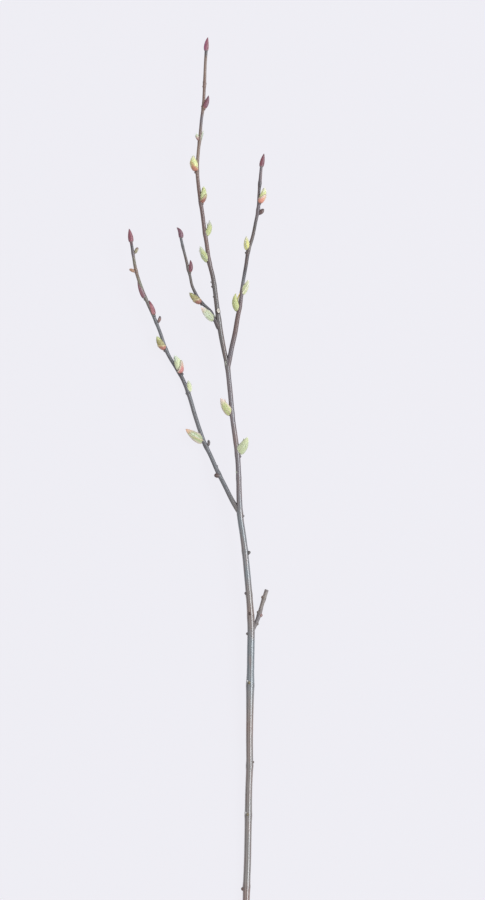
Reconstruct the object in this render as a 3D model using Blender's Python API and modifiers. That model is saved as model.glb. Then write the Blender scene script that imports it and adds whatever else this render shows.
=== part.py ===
# Willow twig, cut and laid down: a main stem with three side shoots and a dead stub. Buds, opening leaves, pegs
# and nubs are grown onto the stem that carries them, so each stem with all that grows from it is one solid.
#
# Sizes in the tables are millimetres and degrees. +Y runs from the cut end to the top bud, +X is to the right as
# the twig is seen from above, and the surface that it lies on is at Z = 0.

import math

import bpy
import bmesh
from mathutils import Vector

MM = 0.001

# How finely the stems are made.
STATION_STEP = 5.0  # between two rings of a stem
RING_DETAIL = 2  # a curve bevel of 2 gives eight sides
SEAM_GAP = 0.3  # between a side shoot's foot and the main stem's bark
FLOOR = 0.0
RING_WELD = 0.00001  # metres: doubled points of a stem's rings and caps
WELD = 0.000002  # metres: points that fusing leaves on one another

# How finely the growth is made.
BUD_SIDES = 8
BUD_RINGS = 7
NUB_SIDES = 6
NUB_RINGS = 5
BLADE_COLUMNS = 4
BLADE_ROWS = 8
BLADE_THICK = 0.7
TOOTH = 0.07  # how far the leaf edge steps in and out, as a share of the half width

# Routes: x, y, z of the stem's axis, and its width there. Points stand at the nodes, where the twig bends, and
# between them. The main stem lies on its cut end and arches up to the forks.
MAIN_ROUTE = (
    (38.9, -347.5, 2.6, 5.7),
    (39.2, -334.0, 2.6, 5.8),
    (40.0, -312.0, 3.0, 5.8),
    (40.4, -291.0, 3.7, 5.7),
    (40.7, -274.0, 4.3, 5.8),
    (41.0, -255.0, 5.1, 5.6),
    (41.7, -235.0, 5.9, 5.6),
    (41.6, -215.0, 6.6, 5.6),
    (41.8, -197.0, 7.2, 5.8),
    (42.1, -175.0, 7.9, 6.4),
    (42.4, -159.0, 8.4, 6.0),
    (42.7, -139.0, 9.0, 6.1),
    (42.9, -127.0, 9.4, 6.0),
    (42.3, -112.0, 9.8, 5.3),
    (41.3, -99.0, 10.2, 4.9),
    (39.6, -80.0, 10.8, 5.1),
    (38.0, -64.0, 11.3, 4.8),
    (36.2, -50.0, 11.6, 4.6),
    (34.3, -37.0, 12.0, 4.5),
    (33.5, -23.0, 12.4, 4.1),
    (33.0, -6.0, 12.8, 3.7),
    (32.0, 13.0, 13.2, 3.8),
    (30.0, 28.5, 13.6, 3.8),
    (28.0, 43.0, 14.0, 3.7),
    (26.6, 59.0, 14.3, 3.7),
    (25.1, 74.0, 14.6, 3.7),
    (23.9, 84.5, 14.8, 3.7),
    (21.5, 95.5, 15.0, 3.6),
    (19.0, 108.5, 15.3, 3.5),
    (16.8, 122.5, 15.6, 3.5),
    (15.3, 134.0, 15.8, 3.5),
    (14.0, 145.0, 16.0, 3.4),
    (12.4, 155.0, 16.2, 3.3),
    (9.4, 167.5, 16.4, 3.2),
    (7.2, 183.0, 16.7, 3.0),
    (5.5, 193.5, 16.9, 2.9),
    (4.1, 205.0, 17.1, 2.9),
    (2.5, 215.5, 17.3, 2.8),
    (0.6, 230.0, 17.5, 2.6),
    (-0.2, 241.0, 17.7, 2.6),
    (0.7, 255.5, 17.9, 2.3),
    (2.1, 268.5, 18.1, 2.3),
    (3.3, 282.0, 18.3, 2.1),
    (4.7, 291.5, 18.4, 2.3),
    (5.3, 302.0, 18.6, 2.1),
    (5.8, 313.0, 18.8, 2.2),
    (6.3, 326.0, 19.0, 2.0),
    (7.0, 336.5, 19.2, 2.2),
)

# The left shoot dips to the surface a third of the way along and rises again to its tip.
LEFT_ROUTE = (
    (34.2, -33.5, 11.8, 4.4),
    (28.5, -24.5, 10.8, 3.7),
    (21.9, -11.5, 8.8, 3.3),
    (15.5, 1.2, 6.9, 3.2),
    (9.8, 14.0, 5.1, 3.1),
    (5.8, 22.0, 4.0, 3.2),
    (1.8, 33.0, 2.6, 3.1),
    (-2.4, 46.0, 1.55, 3.1),
    (-6.2, 59.0, 1.65, 3.1),
    (-9.5, 68.5, 2.5, 3.0),
    (-13.2, 76.5, 3.4, 2.8),
    (-18.1, 84.5, 4.4, 2.6),
    (-22.1, 91.0, 5.2, 2.6),
    (-25.5, 98.0, 5.9, 2.7),
    (-29.5, 110.0, 7.0, 2.4),
    (-34.6, 123.0, 8.3, 2.4),
    (-40.4, 136.0, 9.5, 2.4),
    (-45.6, 149.0, 10.7, 2.4),
    (-49.4, 161.5, 11.7, 2.3),
    (-51.6, 174.5, 12.7, 2.1),
    (-53.1, 184.0, 13.4, 2.1),
)

RIGHT_ROUTE = (
    (24.2, 82.5, 14.8, 3.4),
    (25.9, 91.0, 15.8, 3.3),
    (27.2, 98.0, 16.6, 3.1),
    (29.8, 110.0, 18.0, 2.9),
    (31.9, 123.0, 19.4, 2.7),
    (34.3, 135.0, 20.6, 2.7),
    (35.7, 147.0, 21.6, 2.2),
    (37.1, 155.0, 22.2, 2.5),
    (38.7, 164.0, 22.9, 2.6),
    (40.7, 176.5, 23.7, 2.7),
    (44.0, 187.0, 24.4, 2.4),
    (46.6, 199.5, 25.1, 2.3),
    (48.5, 209.0, 25.6, 2.5),
    (49.1, 222.0, 26.2, 2.0),
    (50.0, 232.0, 26.6, 2.2),
    (51.0, 243.5, 27.0, 2.0),
)

SHORT_ROUTE = (
    (17.4, 114.5, 15.4, 3.4),
    (15.0, 119.0, 15.9, 3.0),
    (12.8, 123.5, 16.4, 2.6),
    (11.0, 127.5, 16.8, 2.3),
    (7.9, 130.8, 17.2, 2.1),
    (4.4, 133.8, 17.6, 2.2),
    (1.2, 137.5, 18.0, 2.4),
    (-1.6, 142.5, 18.5, 2.2),
    (-4.3, 148.5, 19.0, 2.0),
    (-5.8, 155.5, 19.6, 1.9),
    (-7.6, 163.0, 20.2, 2.1),
    (-9.5, 171.0, 20.8, 1.9),
    (-11.8, 180.0, 21.4, 1.9),
    (-13.3, 187.0, 21.8, 1.9),
)

SNAG_ROUTE = (
    (43.0, -128.5, 9.3, 3.4),
    (47.2, -120.5, 7.2, 3.0),
    (49.6, -114.0, 5.6, 2.8),
    (51.4, -107.5, 4.0, 2.8),
    (53.3, -101.5, 2.5, 2.7),
    (55.4, -95.0, 1.15, 2.8),
)

# Swollen nodes: where along y, how much the stem grows there on all sides, and over what reach.
MAIN_SWELLS = (
    (-333.0, 0.25, 3.5),
    (-275.0, 0.2, 3.5),
    (-236.0, 0.25, 3.0),
    (-171.0, 0.25, 5.0),
    (-116.0, 0.15, 3.5),
    (-98.5, 0.15, 2.5),
    (-64.0, 0.2, 2.5),
    (-34.0, 0.2, 3.5),
    (-5.0, 0.15, 2.5),
    (13.5, 0.2, 3.0),
    (46.0, 0.2, 3.0),
    (84.0, 0.2, 3.5),
    (121.0, 0.2, 3.5),
    (149.0, 0.1, 2.5),
    (167.0, 0.2, 3.0),
    (190.0, 0.2, 3.0),
    (215.0, 0.2, 3.0),
    (240.5, 0.15, 3.0),
    (264.0, 0.15, 3.0),
    (291.0, 0.2, 2.5),
    (309.0, 0.15, 2.5),
)
LEFT_SWELLS = (
    (-2.0, 0.2, 2.5),
    (20.0, 0.2, 3.0),
    (63.0, 0.15, 2.0),
    (79.0, 0.2, 3.0),
    (98.0, 0.2, 3.0),
    (119.5, 0.15, 2.0),
    (139.0, 0.1, 2.0),
    (160.5, 0.15, 2.0),
    (174.5, 0.15, 2.0),
)
RIGHT_SWELLS = (
    (131.0, 0.15, 2.5),
    (142.0, 0.15, 2.5),
    (176.0, 0.2, 2.5),
    (208.5, 0.25, 2.5),
    (229.5, 0.25, 3.0),
)
SHORT_SWELLS = (
    (116.0, 0.3, 2.5),
    (135.0, 0.15, 2.5),
    (161.5, 0.2, 2.0),
    (180.0, 0.1, 1.5),
)
SNAG_SWELLS = (
    (-115.0, 0.2, 2.0),
    (-102.5, 0.15, 2.0),
)

# Growth: what it is, where along y, side (-1 left, 1 right), roll of that side up towards +Z, length, width, lean
# from the stem's own direction, hook (how far it turns on the way to its tip, outwards if above zero), and turn of
# a blade's face from outwards to upwards.
MAIN_GROWTH = (
    ("tip_bud", 336.5, 1, 0, 11.4, 3.8, -5, 18, 0),
    ("nub", 310.0, -1, 10, 2.4, 1.6, 60, 0, 0),
    ("nub", 306.5, -1, -5, 2.4, 1.6, 60, 0, 0),
    ("nub", 308.5, 1, 20, 2.2, 1.8, 60, 0, 0),
    ("closed_bud", 291.5, 1, 15, 9.8, 3.1, 24, -22, 0),
    ("nub", 290.5, -1, -10, 2.4, 2.2, 50, 0, 0),
    ("closed_bud", 264.5, -1, 10, 6.2, 2.7, 33, -24, 0),
    ("leaf", 263.5, 1, -5, 9.5, 2.6, 12, -5, 40),
    ("open_bud", 240.0, -1, 20, 13.0, 5.2, 23, -28, 0),
    ("open_bud", 214.5, 1, 20, 13.4, 4.8, 29, -28, 0),
    ("leaf_bud", 188.7, 1, 15, 12.8, 4.8, 49, -56, 60),
    ("leaf_bud", 168.2, -1, 15, 13.8, 5.6, 30, -24, 60),
    ("nub", 150.5, -1, 10, 3.2, 2.0, 55, 0, 0),
    ("nub", 147.0, -1, -10, 3.2, 2.0, 55, 0, 0),
    ("nub", 139.0, -1, 0, 2.4, 1.8, 50, 0, 0),
    ("cut_stub", 126.5, 1, 50, 4.2, 2.5, 35, 0, 0),
    ("leaf_bud", 46.0, -1, 20, 15.6, 6.6, 40, -24, 62),
    ("leaf_bud", 14.9, 1, 15, 14.7, 6.6, 50, -26, 60),
    ("nub", 11.0, 1, 10, 3.0, 2.4, 55, 0, 0),
    ("nub", -36.5, 1, 0, 3.4, 2.6, 50, 0, 0),
    ("nub", -67.0, 1, 10, 5.0, 3.0, 58, 0, 0),
    ("nub", -98.5, -1, 10, 3.6, 2.8, 45, 0, 0),
    ("nub", -131.0, -1, 0, 3.6, 3.4, 40, 0, 0),
    ("nub", -117.0, 1, 60, 3.4, 2.6, 45, 0, 0),
    ("nub", -172.0, -1, 40, 3.6, 3.0, 40, 0, 0),
    ("nub", -234.0, 1, 5, 4.4, 3.2, 50, 0, 0),
    ("nub", -275.0, -1, 35, 4.0, 3.0, 45, 0, 0),
    ("nub", -336.0, -1, 5, 5.0, 3.8, 62, 0, 0),
)
LEFT_GROWTH = (
    ("tip_bud", 184.0, -1, 0, 11.2, 4.3, -3, 6, 0),
    ("peg", 174.2, 1, 10, 6.0, 2.3, 62, -42, 0),
    ("peg", 159.6, -1, 10, 5.8, 2.6, 50, 4, 0),
    ("closed_bud", 138.8, -1, 10, 15.0, 3.3, 3, -6, 0),
    ("closed_bud", 124.9, 1, 15, 12.8, 3.8, 12, -14, 0),
    ("peg", 118.4, 1, 5, 6.6, 2.5, 68, -56, 0),
    ("open_bud", 98.0, -1, 20, 12.6, 5.4, 18, -20, 0),
    ("open_bud", 78.3, 1, 20, 15.6, 5.4, 24, -24, 0),
    ("leaf", 63.8, 1, 12, 9.0, 4.3, 28, -24, 56),
    ("nub", 62.0, -1, 20, 2.4, 1.8, 50, 0, 0),
    ("leaf", 24.7, -1, 30, 17.0, 6.6, 45, -12, 70),
    ("peg", 19.5, 1, 10, 6.0, 2.5, 76, -80, 0),
    ("nub", -3.5, -1, 20, 5.6, 4.0, 68, 0, 0),
    ("nub", 3.0, 1, 10, 2.4, 1.8, 50, 0, 0),
)
RIGHT_GROWTH = (
    ("tip_bud", 243.5, 1, 0, 10.6, 4.0, 4, 6, 0),
    ("open_bud", 214.0, 1, 20, 13.6, 5.0, 32, -30, 0),
    ("peg", 205.4, 1, 5, 6.0, 2.7, 62, -62, 0),
    ("leaf", 176.8, -1, 20, 11.0, 4.6, 29, -18, 65),
    ("nub", 173.5, -1, 10, 2.8, 2.2, 60, 0, 0),
    ("leaf", 142.0, 1, 20, 12.4, 4.6, 27, -14, 60),
    ("leaf_bud", 128.4, -1, 20, 15.0, 5.8, 46, -58, 60),
)
SHORT_GROWTH = (
    ("tip_bud", 187.0, -1, 0, 9.6, 4.0, -20, 62, 0),
    ("closed_bud", 159.3, 1, 15, 9.9, 3.7, 33, -34, 0),
    ("open_bud", 134.9, -1, 20, 12.6, 5.0, 12, -14, 0),
    ("leaf_bud", 121.7, -1, 20, 15.2, 6.8, 24, -4, 74),
)
SNAG_GROWTH = (
    ("nub", -102.5, -1, 15, 2.6, 2.2, 40, 0, 0),
    ("nub", -114.5, -1, 15, 2.6, 2.2, 40, 0, 0),
    ("nub", -116.0, 1, 20, 3.0, 2.8, 45, 0, 0),
    ("nub", -122.5, 1, 10, 2.4, 2.0, 45, 0, 0),
)

# Where growth starts: its distance from the stem's axis as a share of the stem's half width.
BUD_ROOT = 0.5
BLADE_ROOT = 0.4
PEG_ROOT = 0.3
NUB_SINK = 0.5  # how much of a nub's length stands in the stem
TIP_SINK = 0.16  # how deep a stem's end stands in its top bud, as a share of the bud's length

# Profiles: where along its length a growth is widest, and how finely it is drawn out to its tip.
TIP_PROFILE = (0.36, 0.9)
BUD_PROFILE = (0.32, 0.85)
CATKIN_PROFILE = (0.36, 0.85)
HEART_PROFILE = (0.4, 1.1)
PEG_PROFILE = (0.55, 0.42)
NUB_PROFILE = (0.5, 0.5)
STUB_PROFILE = (0.6, 0.35)
BLADE_PROFILE = (0.37, 0.78)
BLADE_FOOT = 0.05  # a blade uses its profile from here
BLADE_TIP = 0.955  # to here, so that it has a foot and a tip with some width

# Opening buds and leaves.
CATKIN_WIDTH = 0.78  # of an open bud's whole width
SCALE_LENGTH = 0.62  # of an open bud's whole length
SCALE_LEAN = 20  # how much further than its bud a pushed-off scale leans out at its foot
SCALE_TURN = 15
SCALE_CUP = 150
LEAF_CUP = 80
OUTER_CUP = 95
INNER_CUP = 90
INNER_LENGTH = 0.86  # of the outer blade's length
INNER_WIDTH = 0.75
INNER_LEAN = -9
INNER_TURN = -150
HEART_WIDTH = 0.45

CUT_SLANT = 0.6  # how far the cut end leans back for each millimetre of height
CUT_RING = 0.3  # reach along y, in half widths, that still belongs to the cut end's ring
STUB_CAP = 0.92  # share of a cut stub's length where its flat face lies
SHARP_EDGE = 50  # degrees between two faces from which their edge is shaded sharp

MAIN_BARK = (0.145, 0.125, 0.12)
SHOOT_BARK = (0.13, 0.105, 0.11)
SHORT_BARK = (0.11, 0.1, 0.095)
DEAD_BARK = (0.16, 0.14, 0.12)
BARK_ROUGHNESS = 0.45


def clear_scene():
    for thing in list(bpy.data.objects):
        bpy.data.objects.remove(thing, do_unlink=True)


def new_collection(name):
    collection = bpy.data.collections.new(name)
    bpy.context.scene.collection.children.link(collection)
    return collection


def bark_material(name, colour):
    material = bpy.data.materials.new(name)
    material.use_nodes = True
    shader = material.node_tree.nodes["Principled BSDF"]
    shader.inputs["Base Color"].default_value = (*colour, 1.0)
    shader.inputs["Roughness"].default_value = BARK_ROUGHNESS
    shader.inputs["Metallic"].default_value = 0.0
    return material


def evaluated_mesh(thing):
    graph = bpy.context.evaluated_depsgraph_get()
    return bpy.data.meshes.new_from_object(thing.evaluated_get(graph))


# Stations a step apart on a smooth curve through the route's points, each a place and the stem's half width. The
# slope at each point is the mean of its two neighbours' chords, weighted by how near they are.
def stations_of(route, swells):
    rows = [Vector(point) for point in route]
    gaps = [(b.xyz - a.xyz).length for a, b in zip(rows, rows[1:])]
    chords = [(b - a) / gap for a, b, gap in zip(rows, rows[1:], gaps)]
    slopes = [chords[0]]
    for before, after, gap_before, gap_after in zip(chords, chords[1:], gaps, gaps[1:]):
        slopes.append((before * gap_after + after * gap_before) / (gap_before + gap_after))
    slopes.append(chords[-1])
    samples = []
    for index, gap in enumerate(gaps):
        steps = max(1, round(gap / STATION_STEP))
        for step in range(steps):
            samples.append(hermite(rows, slopes, index, gap, step / steps))
    samples.append(rows[-1])
    return [(row.xyz, half_width(row, swells)) for row in samples]


def hermite(rows, slopes, index, gap, u):
    start, end = rows[index], rows[index + 1]
    leave, arrive = slopes[index] * gap, slopes[index + 1] * gap
    return (
        start * (2 * u**3 - 3 * u**2 + 1)
        + leave * (u**3 - 2 * u**2 + u)
        + end * (3 * u**2 - 2 * u**3)
        + arrive * (u**3 - u**2)
    )


def half_width(row, swells):
    half = row.w / 2
    for y, rise, reach in swells:
        half += rise * math.exp(-(((row.y - y) / reach) ** 2))
    return half


# A round tube along the stations, as one closed mesh. The spare is added to its half width all along.
def stem_object(name, stations, collection, spare=0.0):
    curve = bpy.data.curves.new(name, "CURVE")
    curve.dimensions = "3D"
    curve.twist_mode = "Z_UP"
    curve.bevel_depth = MM
    curve.bevel_resolution = RING_DETAIL
    curve.use_fill_caps = True
    spline = curve.splines.new("POLY")
    spline.points.add(len(stations) - 1)
    for point, (place, half) in zip(spline.points, stations):
        point.co = (*(place * MM), 1.0)
        point.radius = half + spare
    tube = bpy.data.objects.new(name + "_curve", curve)
    collection.objects.link(tube)
    mesh = evaluated_mesh(tube)
    shape = bmesh.new()
    shape.from_mesh(mesh)
    bmesh.ops.remove_doubles(shape, verts=shape.verts, dist=RING_WELD)
    bmesh.ops.recalc_face_normals(shape, faces=shape.faces)
    shape.to_mesh(mesh)
    shape.free()
    stem = bpy.data.objects.new(name, mesh)
    stem.matrix_world = tube.matrix_world
    collection.objects.link(stem)
    bpy.data.objects.remove(tube, do_unlink=True)
    return stem


# The cut end's last ring leans back as it rises, so that the cut face looks down the stem and up.
def slant_cut_end(stem, stations):
    centre = stations[0][0] * MM
    reach = stations[0][1] * MM * CUT_RING
    for vertex in stem.data.vertices:
        if abs(vertex.co.y - centre.y) < reach:
            vertex.co.y += CUT_SLANT * (vertex.co.z - centre.z)


# Where growth leaves a stem: the stem's centre and half width at y, and three directions. along follows the stem,
# out leaves it on the wanted side, and over is square to both, on the side that is seen from above.
def seat_at(stations, y, side, roll):
    below, above = stations[-2], stations[-1]
    for first, second in zip(stations, stations[1:]):
        if first[0].y <= y < second[0].y:
            below, above = first, second
            break
    share = min(1.0, (y - below[0].y) / (above[0].y - below[0].y))
    centre = below[0].lerp(above[0], share)
    half = below[1] + (above[1] - below[1]) * share
    along = (above[0] - below[0]).normalized()
    right = along.cross(Vector((0, 0, 1))).normalized()
    up = right.cross(along)
    angle = math.radians(roll)
    out = right * (side * math.cos(angle)) + up * math.sin(angle)
    over = up * math.cos(angle) - right * (side * math.sin(angle))
    return centre, half, along, out, over


# Points on the middle line of a growth that leans out of its stem and turns by its hook on the way, each with the
# line's own direction and the direction square to it, away from the stem.
def growth_line(seat, root, length, lean, hook, count=12):
    centre, half, along, out, over = seat
    place = centre + out * root
    line = []
    for step in range(count + 1):
        angle = math.radians(lean + hook * step / count)
        ahead = along * math.cos(angle) + out * math.sin(angle)
        away = out * math.cos(angle) - along * math.sin(angle)
        line.append((place.copy(), ahead, away))
        place += ahead * (length / count)
    return line


def on_line(line, t):
    spot = min(max(t, 0.0), 1.0) * (len(line) - 1)
    index = min(int(spot), len(line) - 2)
    return [a.lerp(b, spot - index) for a, b in zip(line[index], line[index + 1])]


# Share of the full width at t of the length: widest at the belly, and drawn out to the tip by a higher point.
def swollen(t, profile):
    belly, point = profile
    rise = point * belly / (1.0 - belly)
    full = belly**rise * (1.0 - belly) ** point
    return t**rise * (1.0 - t) ** point / full


def growth_object(name, shape, collection):
    bmesh.ops.recalc_face_normals(shape, faces=shape.faces)
    mesh = bpy.data.meshes.new(name)
    shape.to_mesh(mesh)
    shape.free()
    thing = bpy.data.objects.new(name, mesh)
    collection.objects.link(thing)
    return thing


# A round body on a growth's line: a sphere whose rings are spread along the line and sized by the profile.
def body(name, seat, line, width, profile, collection, sides=BUD_SIDES, rings=BUD_RINGS, end=1.0):
    over = seat[4]
    shape = bmesh.new()
    bmesh.ops.create_uvsphere(shape, u_segments=sides, v_segments=rings, radius=1.0)
    for vertex in shape.verts:
        t = (vertex.co.z + 1.0) / 2
        size = swollen(min(max(t, 0.0), 1.0), profile) * width / 2
        turn = math.atan2(vertex.co.y, vertex.co.x)
        place, ahead, away = on_line(line, min(t, end))
        offset = away * (size * math.cos(turn)) + over * (size * math.sin(turn))
        vertex.co = (place + offset) * MM
    return growth_object(name, shape, collection)


# A thin cupped blade on a growth's line. Its back faces outwards at a turn of 0 and upwards at 90, its edges curl
# in by the cup, and each row of points steps in or out to make the toothed edge.
def blade(name, seat, line, width, turn, cup, collection, teeth=TOOTH):
    over = seat[4]
    face = math.radians(turn)
    curl = math.radians(cup) / 2
    shape = bmesh.new()
    bmesh.ops.create_grid(shape, x_segments=BLADE_COLUMNS, y_segments=BLADE_ROWS, size=0.5)
    for vertex in shape.verts:
        across = vertex.co.x * 2
        t = vertex.co.y + 0.5
        row = round(t * BLADE_ROWS)
        place, ahead, away = on_line(line, t)
        back = away * math.cos(face) + over * math.sin(face)
        sideways = over * math.cos(face) - away * math.sin(face)
        half = width / 2 * swollen(BLADE_FOOT + (BLADE_TIP - BLADE_FOOT) * t, BLADE_PROFILE)
        if abs(round(across)) == 1:
            half *= 1.0 + teeth * (-1) ** row
        bend = curl * across
        offset = sideways * (half * math.sin(bend) / math.sin(curl))
        lift = back * (half * (math.cos(bend) - math.cos(curl)) / math.sin(curl))
        vertex.co = (place + offset + lift) * MM
    bmesh.ops.triangulate(shape, faces=shape.faces)
    sheet = growth_object(name + "_sheet", shape, collection)
    wall = sheet.modifiers.new("thickness", "SOLIDIFY")
    wall.thickness = BLADE_THICK * MM
    wall.offset = 0.0
    solid = bmesh.new()
    solid.from_mesh(evaluated_mesh(sheet))
    bpy.data.objects.remove(sheet, do_unlink=True)
    return growth_object(name, solid, collection)


# The stem runs up into the bud at its end.
def tip_bud(name, seat, length, width, lean, hook, turn, collection):
    centre, half, along, out, over = seat
    sunk = (centre - along * (length * TIP_SINK), half, along, out, over)
    line = growth_line(sunk, 0.0, length * (1 + TIP_SINK), lean, hook)
    body(name, seat, line, width, TIP_PROFILE, collection)


def closed_bud(name, seat, length, width, lean, hook, turn, collection):
    line = growth_line(seat, seat[1] * BUD_ROOT, length, lean, hook)
    body(name, seat, line, width, BUD_PROFILE, collection)


# The catkin or leaf tip stands out of the scale that it has pushed aside.
def open_bud(name, seat, length, width, lean, hook, turn, collection):
    root = seat[1] * BUD_ROOT
    line = growth_line(seat, root, length, lean, hook)
    body(name + "_tip", seat, line, width * CATKIN_WIDTH, CATKIN_PROFILE, collection)
    scale_line = growth_line(seat, root, length * SCALE_LENGTH, lean + SCALE_LEAN, hook - SCALE_LEAN)
    blade(name + "_scale", seat, scale_line, width, SCALE_TURN, SCALE_CUP, collection, teeth=0.0)


def leaf(name, seat, length, width, lean, hook, turn, collection):
    line = growth_line(seat, seat[1] * BLADE_ROOT, length, lean, hook)
    blade(name, seat, line, width, turn, LEAF_CUP, collection)


# Two blades round a slim heart: the outer one is seen from above, and the inner one stands behind it.
def leaf_bud(name, seat, length, width, lean, hook, turn, collection):
    root = seat[1] * BLADE_ROOT
    line = growth_line(seat, root, length, lean, hook)
    body(name + "_heart", seat, line, width * HEART_WIDTH, HEART_PROFILE, collection)
    blade(name + "_outer", seat, line, width, turn, OUTER_CUP, collection)
    inner_line = growth_line(seat, root, length * INNER_LENGTH, lean + INNER_LEAN, hook)
    blade(name + "_inner", seat, inner_line, width * INNER_WIDTH, turn + INNER_TURN, INNER_CUP, collection)


def peg(name, seat, length, width, lean, hook, turn, collection):
    line = growth_line(seat, seat[1] * PEG_ROOT, length, lean, hook)
    body(name, seat, line, width, PEG_PROFILE, collection, NUB_SIDES, NUB_RINGS)


def nub(name, seat, length, width, lean, hook, turn, collection):
    line = growth_line(seat, seat[1] - length * NUB_SINK, length, lean, hook)
    body(name, seat, line, width, NUB_PROFILE, collection, NUB_SIDES, NUB_RINGS)


# A stub of a shoot that was cut off: its rings past the cap all lie on one flat face.
def cut_stub(name, seat, length, width, lean, hook, turn, collection):
    line = growth_line(seat, seat[1] * PEG_ROOT, length, lean, hook)
    body(name, seat, line, width, STUB_PROFILE, collection, end=STUB_CAP)


KINDS = {
    "tip_bud": tip_bud,
    "closed_bud": closed_bud,
    "open_bud": open_bud,
    "leaf": leaf,
    "leaf_bud": leaf_bud,
    "peg": peg,
    "nub": nub,
    "cut_stub": cut_stub,
}


def grow(name, stations, growth, collection):
    for number, (kind, y, side, roll, length, width, lean, hook, turn) in enumerate(growth, 1):
        seat = seat_at(stations, y, side, roll)
        KINDS[kind](f"{name}_{kind}_{number}", seat, length, width, lean, hook, turn, collection)


def boolean(thing, operation, collection):
    step = thing.modifiers.new(operation.lower(), "BOOLEAN")
    step.operation = operation
    step.operand_type = "COLLECTION"
    step.collection = collection
    step.solver = "EXACT"


# What lies under the surface is cut away and closed by a flat face: the small flats that the twig rests on.
def trim_to_floor(shape):
    geometry = list(shape.verts) + list(shape.edges) + list(shape.faces)
    cut = bmesh.ops.bisect_plane(
        shape,
        geom=geometry,
        dist=WELD / 2,
        plane_co=(0, 0, FLOOR),
        plane_no=(0, 0, -1),
        clear_outer=True,
    )
    rim = [item for item in cut["geom_cut"] if isinstance(item, bmesh.types.BMEdge)]
    if rim:
        bmesh.ops.edgeloop_fill(shape, edges=rim)


# Only the body with the most faces stays: a hollow that fusing has sealed is filled, and loose scraps are dropped.
def keep_largest(shape):
    left = set(shape.faces)
    groups = []
    while left:
        group = set()
        front = [left.pop()]
        while front:
            face = front.pop()
            group.add(face)
            for edge in face.edges:
                for other in edge.link_faces:
                    if other in left:
                        left.remove(other)
                        front.append(other)
        groups.append(group)
    groups.sort(key=len)
    spare = [face for group in groups[:-1] for face in group]
    bmesh.ops.delete(shape, geom=spare, context="FACES")


def finish_mesh(thing):
    mesh = evaluated_mesh(thing)
    shape = bmesh.new()
    shape.from_mesh(mesh)
    keep_largest(shape)
    trim_to_floor(shape)
    bmesh.ops.remove_doubles(shape, verts=shape.verts, dist=WELD)
    bmesh.ops.dissolve_degenerate(shape, edges=shape.edges, dist=WELD)
    bmesh.ops.triangulate(shape, faces=shape.faces)
    shape.to_mesh(mesh)
    shape.free()
    mesh.shade_smooth()
    mesh.set_sharp_from_angle(angle=math.radians(SHARP_EDGE))
    return mesh


# One node: the stem with its growth fused to it, less what the clearance collection takes away.
def leafy_stem(name, stations, growth, colour, parts, clearance=None, cut_end=False):
    stem = stem_object(name + "_stem", stations, parts)
    if cut_end:
        slant_cut_end(stem, stations)
    grown = new_collection(name + "_growth")
    grow(name, stations, growth, grown)
    boolean(stem, "UNION", grown)
    if clearance:
        boolean(stem, "DIFFERENCE", clearance)
    mesh = finish_mesh(stem)
    mesh.name = name
    for piece in list(grown.objects):
        bpy.data.objects.remove(piece, do_unlink=True)
    bpy.data.collections.remove(grown)
    bpy.data.objects.remove(stem, do_unlink=True)
    node = bpy.data.objects.new(name, mesh)
    mesh.materials.clear()
    mesh.materials.append(bark_material(name + "_bark", colour))
    parts.objects.link(node)
    return node


def main():
    clear_scene()
    parts = new_collection("willow_twig")
    cutters = new_collection("cutters")

    main_stations = stations_of(MAIN_ROUTE, MAIN_SWELLS)
    cutter = stem_object("main_stem_clearance", main_stations, cutters, spare=SEAM_GAP)
    cutter.hide_render = True
    cutter.display_type = "WIRE"

    leafy_stem("main_stem", main_stations, MAIN_GROWTH, MAIN_BARK, parts, cut_end=True)
    side_stems = (
        ("left_shoot", LEFT_ROUTE, LEFT_SWELLS, LEFT_GROWTH, SHOOT_BARK),
        ("right_shoot", RIGHT_ROUTE, RIGHT_SWELLS, RIGHT_GROWTH, SHOOT_BARK),
        ("short_shoot", SHORT_ROUTE, SHORT_SWELLS, SHORT_GROWTH, SHORT_BARK),
        ("snag", SNAG_ROUTE, SNAG_SWELLS, SNAG_GROWTH, DEAD_BARK),
    )
    for name, route, swells, growth, colour in side_stems:
        stations = stations_of(route, swells)
        leafy_stem(name, stations, growth, colour, parts, clearance=cutters)


main()
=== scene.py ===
import math

import bmesh
import bpy
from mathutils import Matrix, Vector, noise


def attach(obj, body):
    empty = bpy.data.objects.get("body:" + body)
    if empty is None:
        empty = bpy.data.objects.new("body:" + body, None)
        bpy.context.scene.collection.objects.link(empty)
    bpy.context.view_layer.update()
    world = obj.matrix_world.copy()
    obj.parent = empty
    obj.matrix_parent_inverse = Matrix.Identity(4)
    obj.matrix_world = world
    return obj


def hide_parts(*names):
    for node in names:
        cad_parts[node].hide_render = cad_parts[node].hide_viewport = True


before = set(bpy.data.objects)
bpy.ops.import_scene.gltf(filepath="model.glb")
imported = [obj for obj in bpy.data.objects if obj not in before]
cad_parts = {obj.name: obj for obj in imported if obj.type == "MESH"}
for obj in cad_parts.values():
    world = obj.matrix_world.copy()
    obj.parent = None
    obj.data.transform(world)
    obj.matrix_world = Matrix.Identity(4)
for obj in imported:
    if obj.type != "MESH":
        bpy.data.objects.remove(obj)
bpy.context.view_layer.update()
print("willow twig: frame loaded")

mm = 0.001
up = Vector((0, 0, 1))


def tone(red, green, blue):
    # a colour given as 0 to 255 on screen, turned into the light values that the shaders mix
    values = []
    for channel in (red, green, blue):
        share = channel / 255
        values.append(share / 12.92 if share <= 0.04045 else ((share + 0.055) / 1.055) ** 2.4)
    return Vector(values)


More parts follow.
